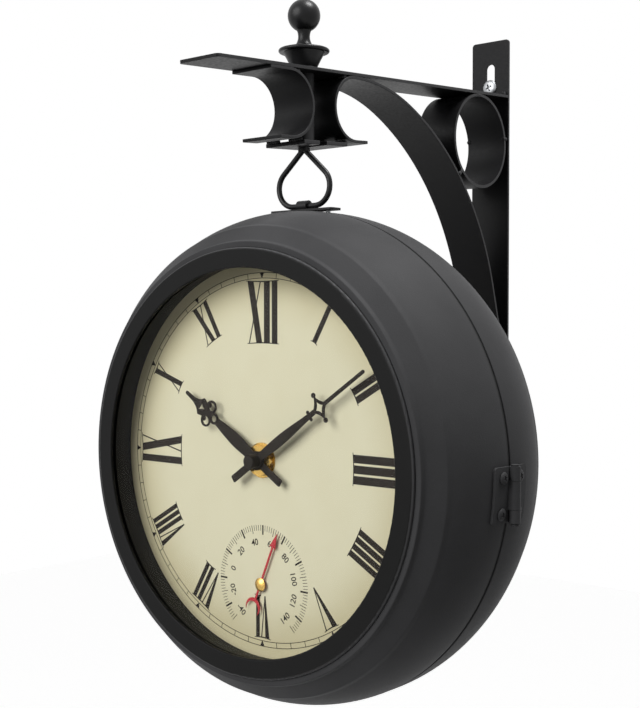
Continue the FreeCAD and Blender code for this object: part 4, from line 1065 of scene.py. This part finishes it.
def soft_lamp(name, place, aim, size, power):
    lamp = bpy.data.lights.new(name, "AREA")
    lamp.shape = "DISK"
    lamp.size = size
    lamp.energy = power
    holder = bpy.data.objects.new(name, lamp)
    bpy.context.scene.collection.objects.link(holder)
    holder.location = place
    holder.rotation_euler = (Vector(aim) - Vector(place)).to_track_quat("-Z", "Y").to_euler()
    return holder


def white_where_seen(tree):
    """One for rays that show the background: from the camera, a reflection or through glass."""
    path = add_node(tree, "ShaderNodeLightPath")
    seen = add_node(tree, "ShaderNodeMath", {0: path.outputs["Is Camera Ray"],
                                             1: path.outputs["Is Glossy Ray"]}, operation="MAXIMUM")
    return add_node(tree, "ShaderNodeMath", {0: seen.outputs[0],
                                             1: path.outputs["Is Transmission Ray"]},
                    operation="MAXIMUM").outputs[0]


class CLOCK_OT_stage(bpy.types.Operator):
    """Sets the pale floor, the white studio, the soft lamps and the camera"""
    bl_idname = "clock.stage"
    bl_label = "Stage"

    def execute(self, context):
        stage = context.scene.clock_stage
        low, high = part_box("front_dial")
        dial = Vector((0, low.y, (low.z + high.z) / 2))
        self.floor(context, stage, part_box("rear_shell")[0].z - stage.floor_drop)
        self.studio(context, stage)
        soft_lamp("key_lamp", dial + KEY_PLACE, dial, stage.key_size, stage.key_power)
        soft_lamp("top_lamp", dial + TOP_PLACE, dial, stage.top_size, stage.top_power)
        camera = bpy.data.objects.new("camera", bpy.data.cameras.new("camera"))
        context.scene.collection.objects.link(camera)
        camera.location = dial + CAMERA_PLACE
        camera.rotation_euler = CAMERA_WAY.to_track_quat("-Z", "Y").to_euler()
        camera.data.sensor_width = 36.0
        camera.data.lens = stage.lens
        context.scene.camera = camera
        context.scene.view_settings.view_transform = "Standard"
        return {"FINISHED"}

    def floor(self, context, stage, height):
        bm = bmesh.new()
        reach = 8.0
        corners = [bm.verts.new((x * reach, y * reach, height)) for x, y in
                   ((-1, -1), (1, -1), (1, 1), (-1, 1))]
        bm.faces.new(corners)
        mesh = bpy.data.meshes.new("floor")
        bm.to_mesh(mesh)
        bm.free()
        floor = bpy.data.objects.new("floor", mesh)
        context.scene.collection.objects.link(floor)
        paper, tree, shader, place = finish_base("matt studio paper",
                                                 tuple(context.scene.clock_colours.stage), 0.9)
        relief(tree, shader, grain(tree, place, 3.0), 0.05)
        shader.inputs["Emission Color"].default_value = (1, 1, 1, 1)
        glow = add_node(tree, "ShaderNodeMath", {0: white_where_seen(tree), 1: stage.glow},
                        operation="MULTIPLY")
        tree.links.new(glow.outputs[0], shader.inputs["Emission Strength"])
        mesh.materials.append(paper)

    def studio(self, context, stage):
        world = bpy.data.worlds.new("white studio")
        world.use_nodes = True
        tree = world.node_tree
        level = add_node(tree, "ShaderNodeMapRange", {"Value": white_where_seen(tree),
                                                      "To Min": stage.ambient, "To Max": 1.0})
        background = tree.nodes["Background"]
        background.inputs["Color"].default_value = (1, 1, 1, 1)
        tree.links.new(level.outputs[0], background.inputs["Strength"])
        context.scene.world = world


STEPS = (CLOCK_OT_stage, CLOCK_OT_finishes, CLOCK_OT_bracket, CLOCK_OT_welds, CLOCK_OT_wall_screws,
         CLOCK_OT_shells, CLOCK_OT_fittings, CLOCK_OT_hinge_screws, CLOCK_OT_hands,
         CLOCK_OT_dial_print, CLOCK_OT_gauge_print)
GROUPS = {"clock_dial": ClockDialSizes, "clock_case": ClockCaseSizes,
          "clock_metal": ClockMetalSizes, "clock_colours": ClockColours, "clock_stage": ClockStage}


class CLOCK_PT_sidebar(bpy.types.Panel):
    """Lists the clock's sizes, colours and making steps"""
    bl_idname = "CLOCK_PT_sidebar"
    bl_label = "Station Clock"
    bl_space_type = "VIEW_3D"
    bl_region_type = "UI"
    bl_category = "Station Clock"

    def draw(self, context):
        for group, kind in GROUPS.items():
            box = self.layout.box()
            for name in kind.__annotations__:
                box.prop(getattr(context.scene, group), name)
        for step in STEPS:
            self.layout.operator(step.bl_idname)


def register():
    for kind in (*GROUPS.values(), *STEPS, CLOCK_PT_sidebar):
        bpy.utils.register_class(kind)
    for name, kind in GROUPS.items():
        setattr(bpy.types.Scene, name, PointerProperty(type=kind))


def unregister():
    for name in GROUPS:
        delattr(bpy.types.Scene, name)
    for kind in (CLOCK_PT_sidebar, *reversed(STEPS), *reversed(GROUPS.values())):
        bpy.utils.unregister_class(kind)


def main():
    register()
    bpy.ops.clock.stage()
    bpy.ops.clock.finishes()
    bpy.ops.clock.bracket()
    bpy.ops.clock.welds()
    bpy.ops.clock.wall_screws()
    bpy.ops.clock.shells()
    bpy.ops.clock.fittings()
    bpy.ops.clock.hinge_screws()
    bpy.ops.clock.hands()
    bpy.ops.clock.dial_print()
    bpy.ops.clock.gauge_print()


if __name__ == "__main__":
    main()
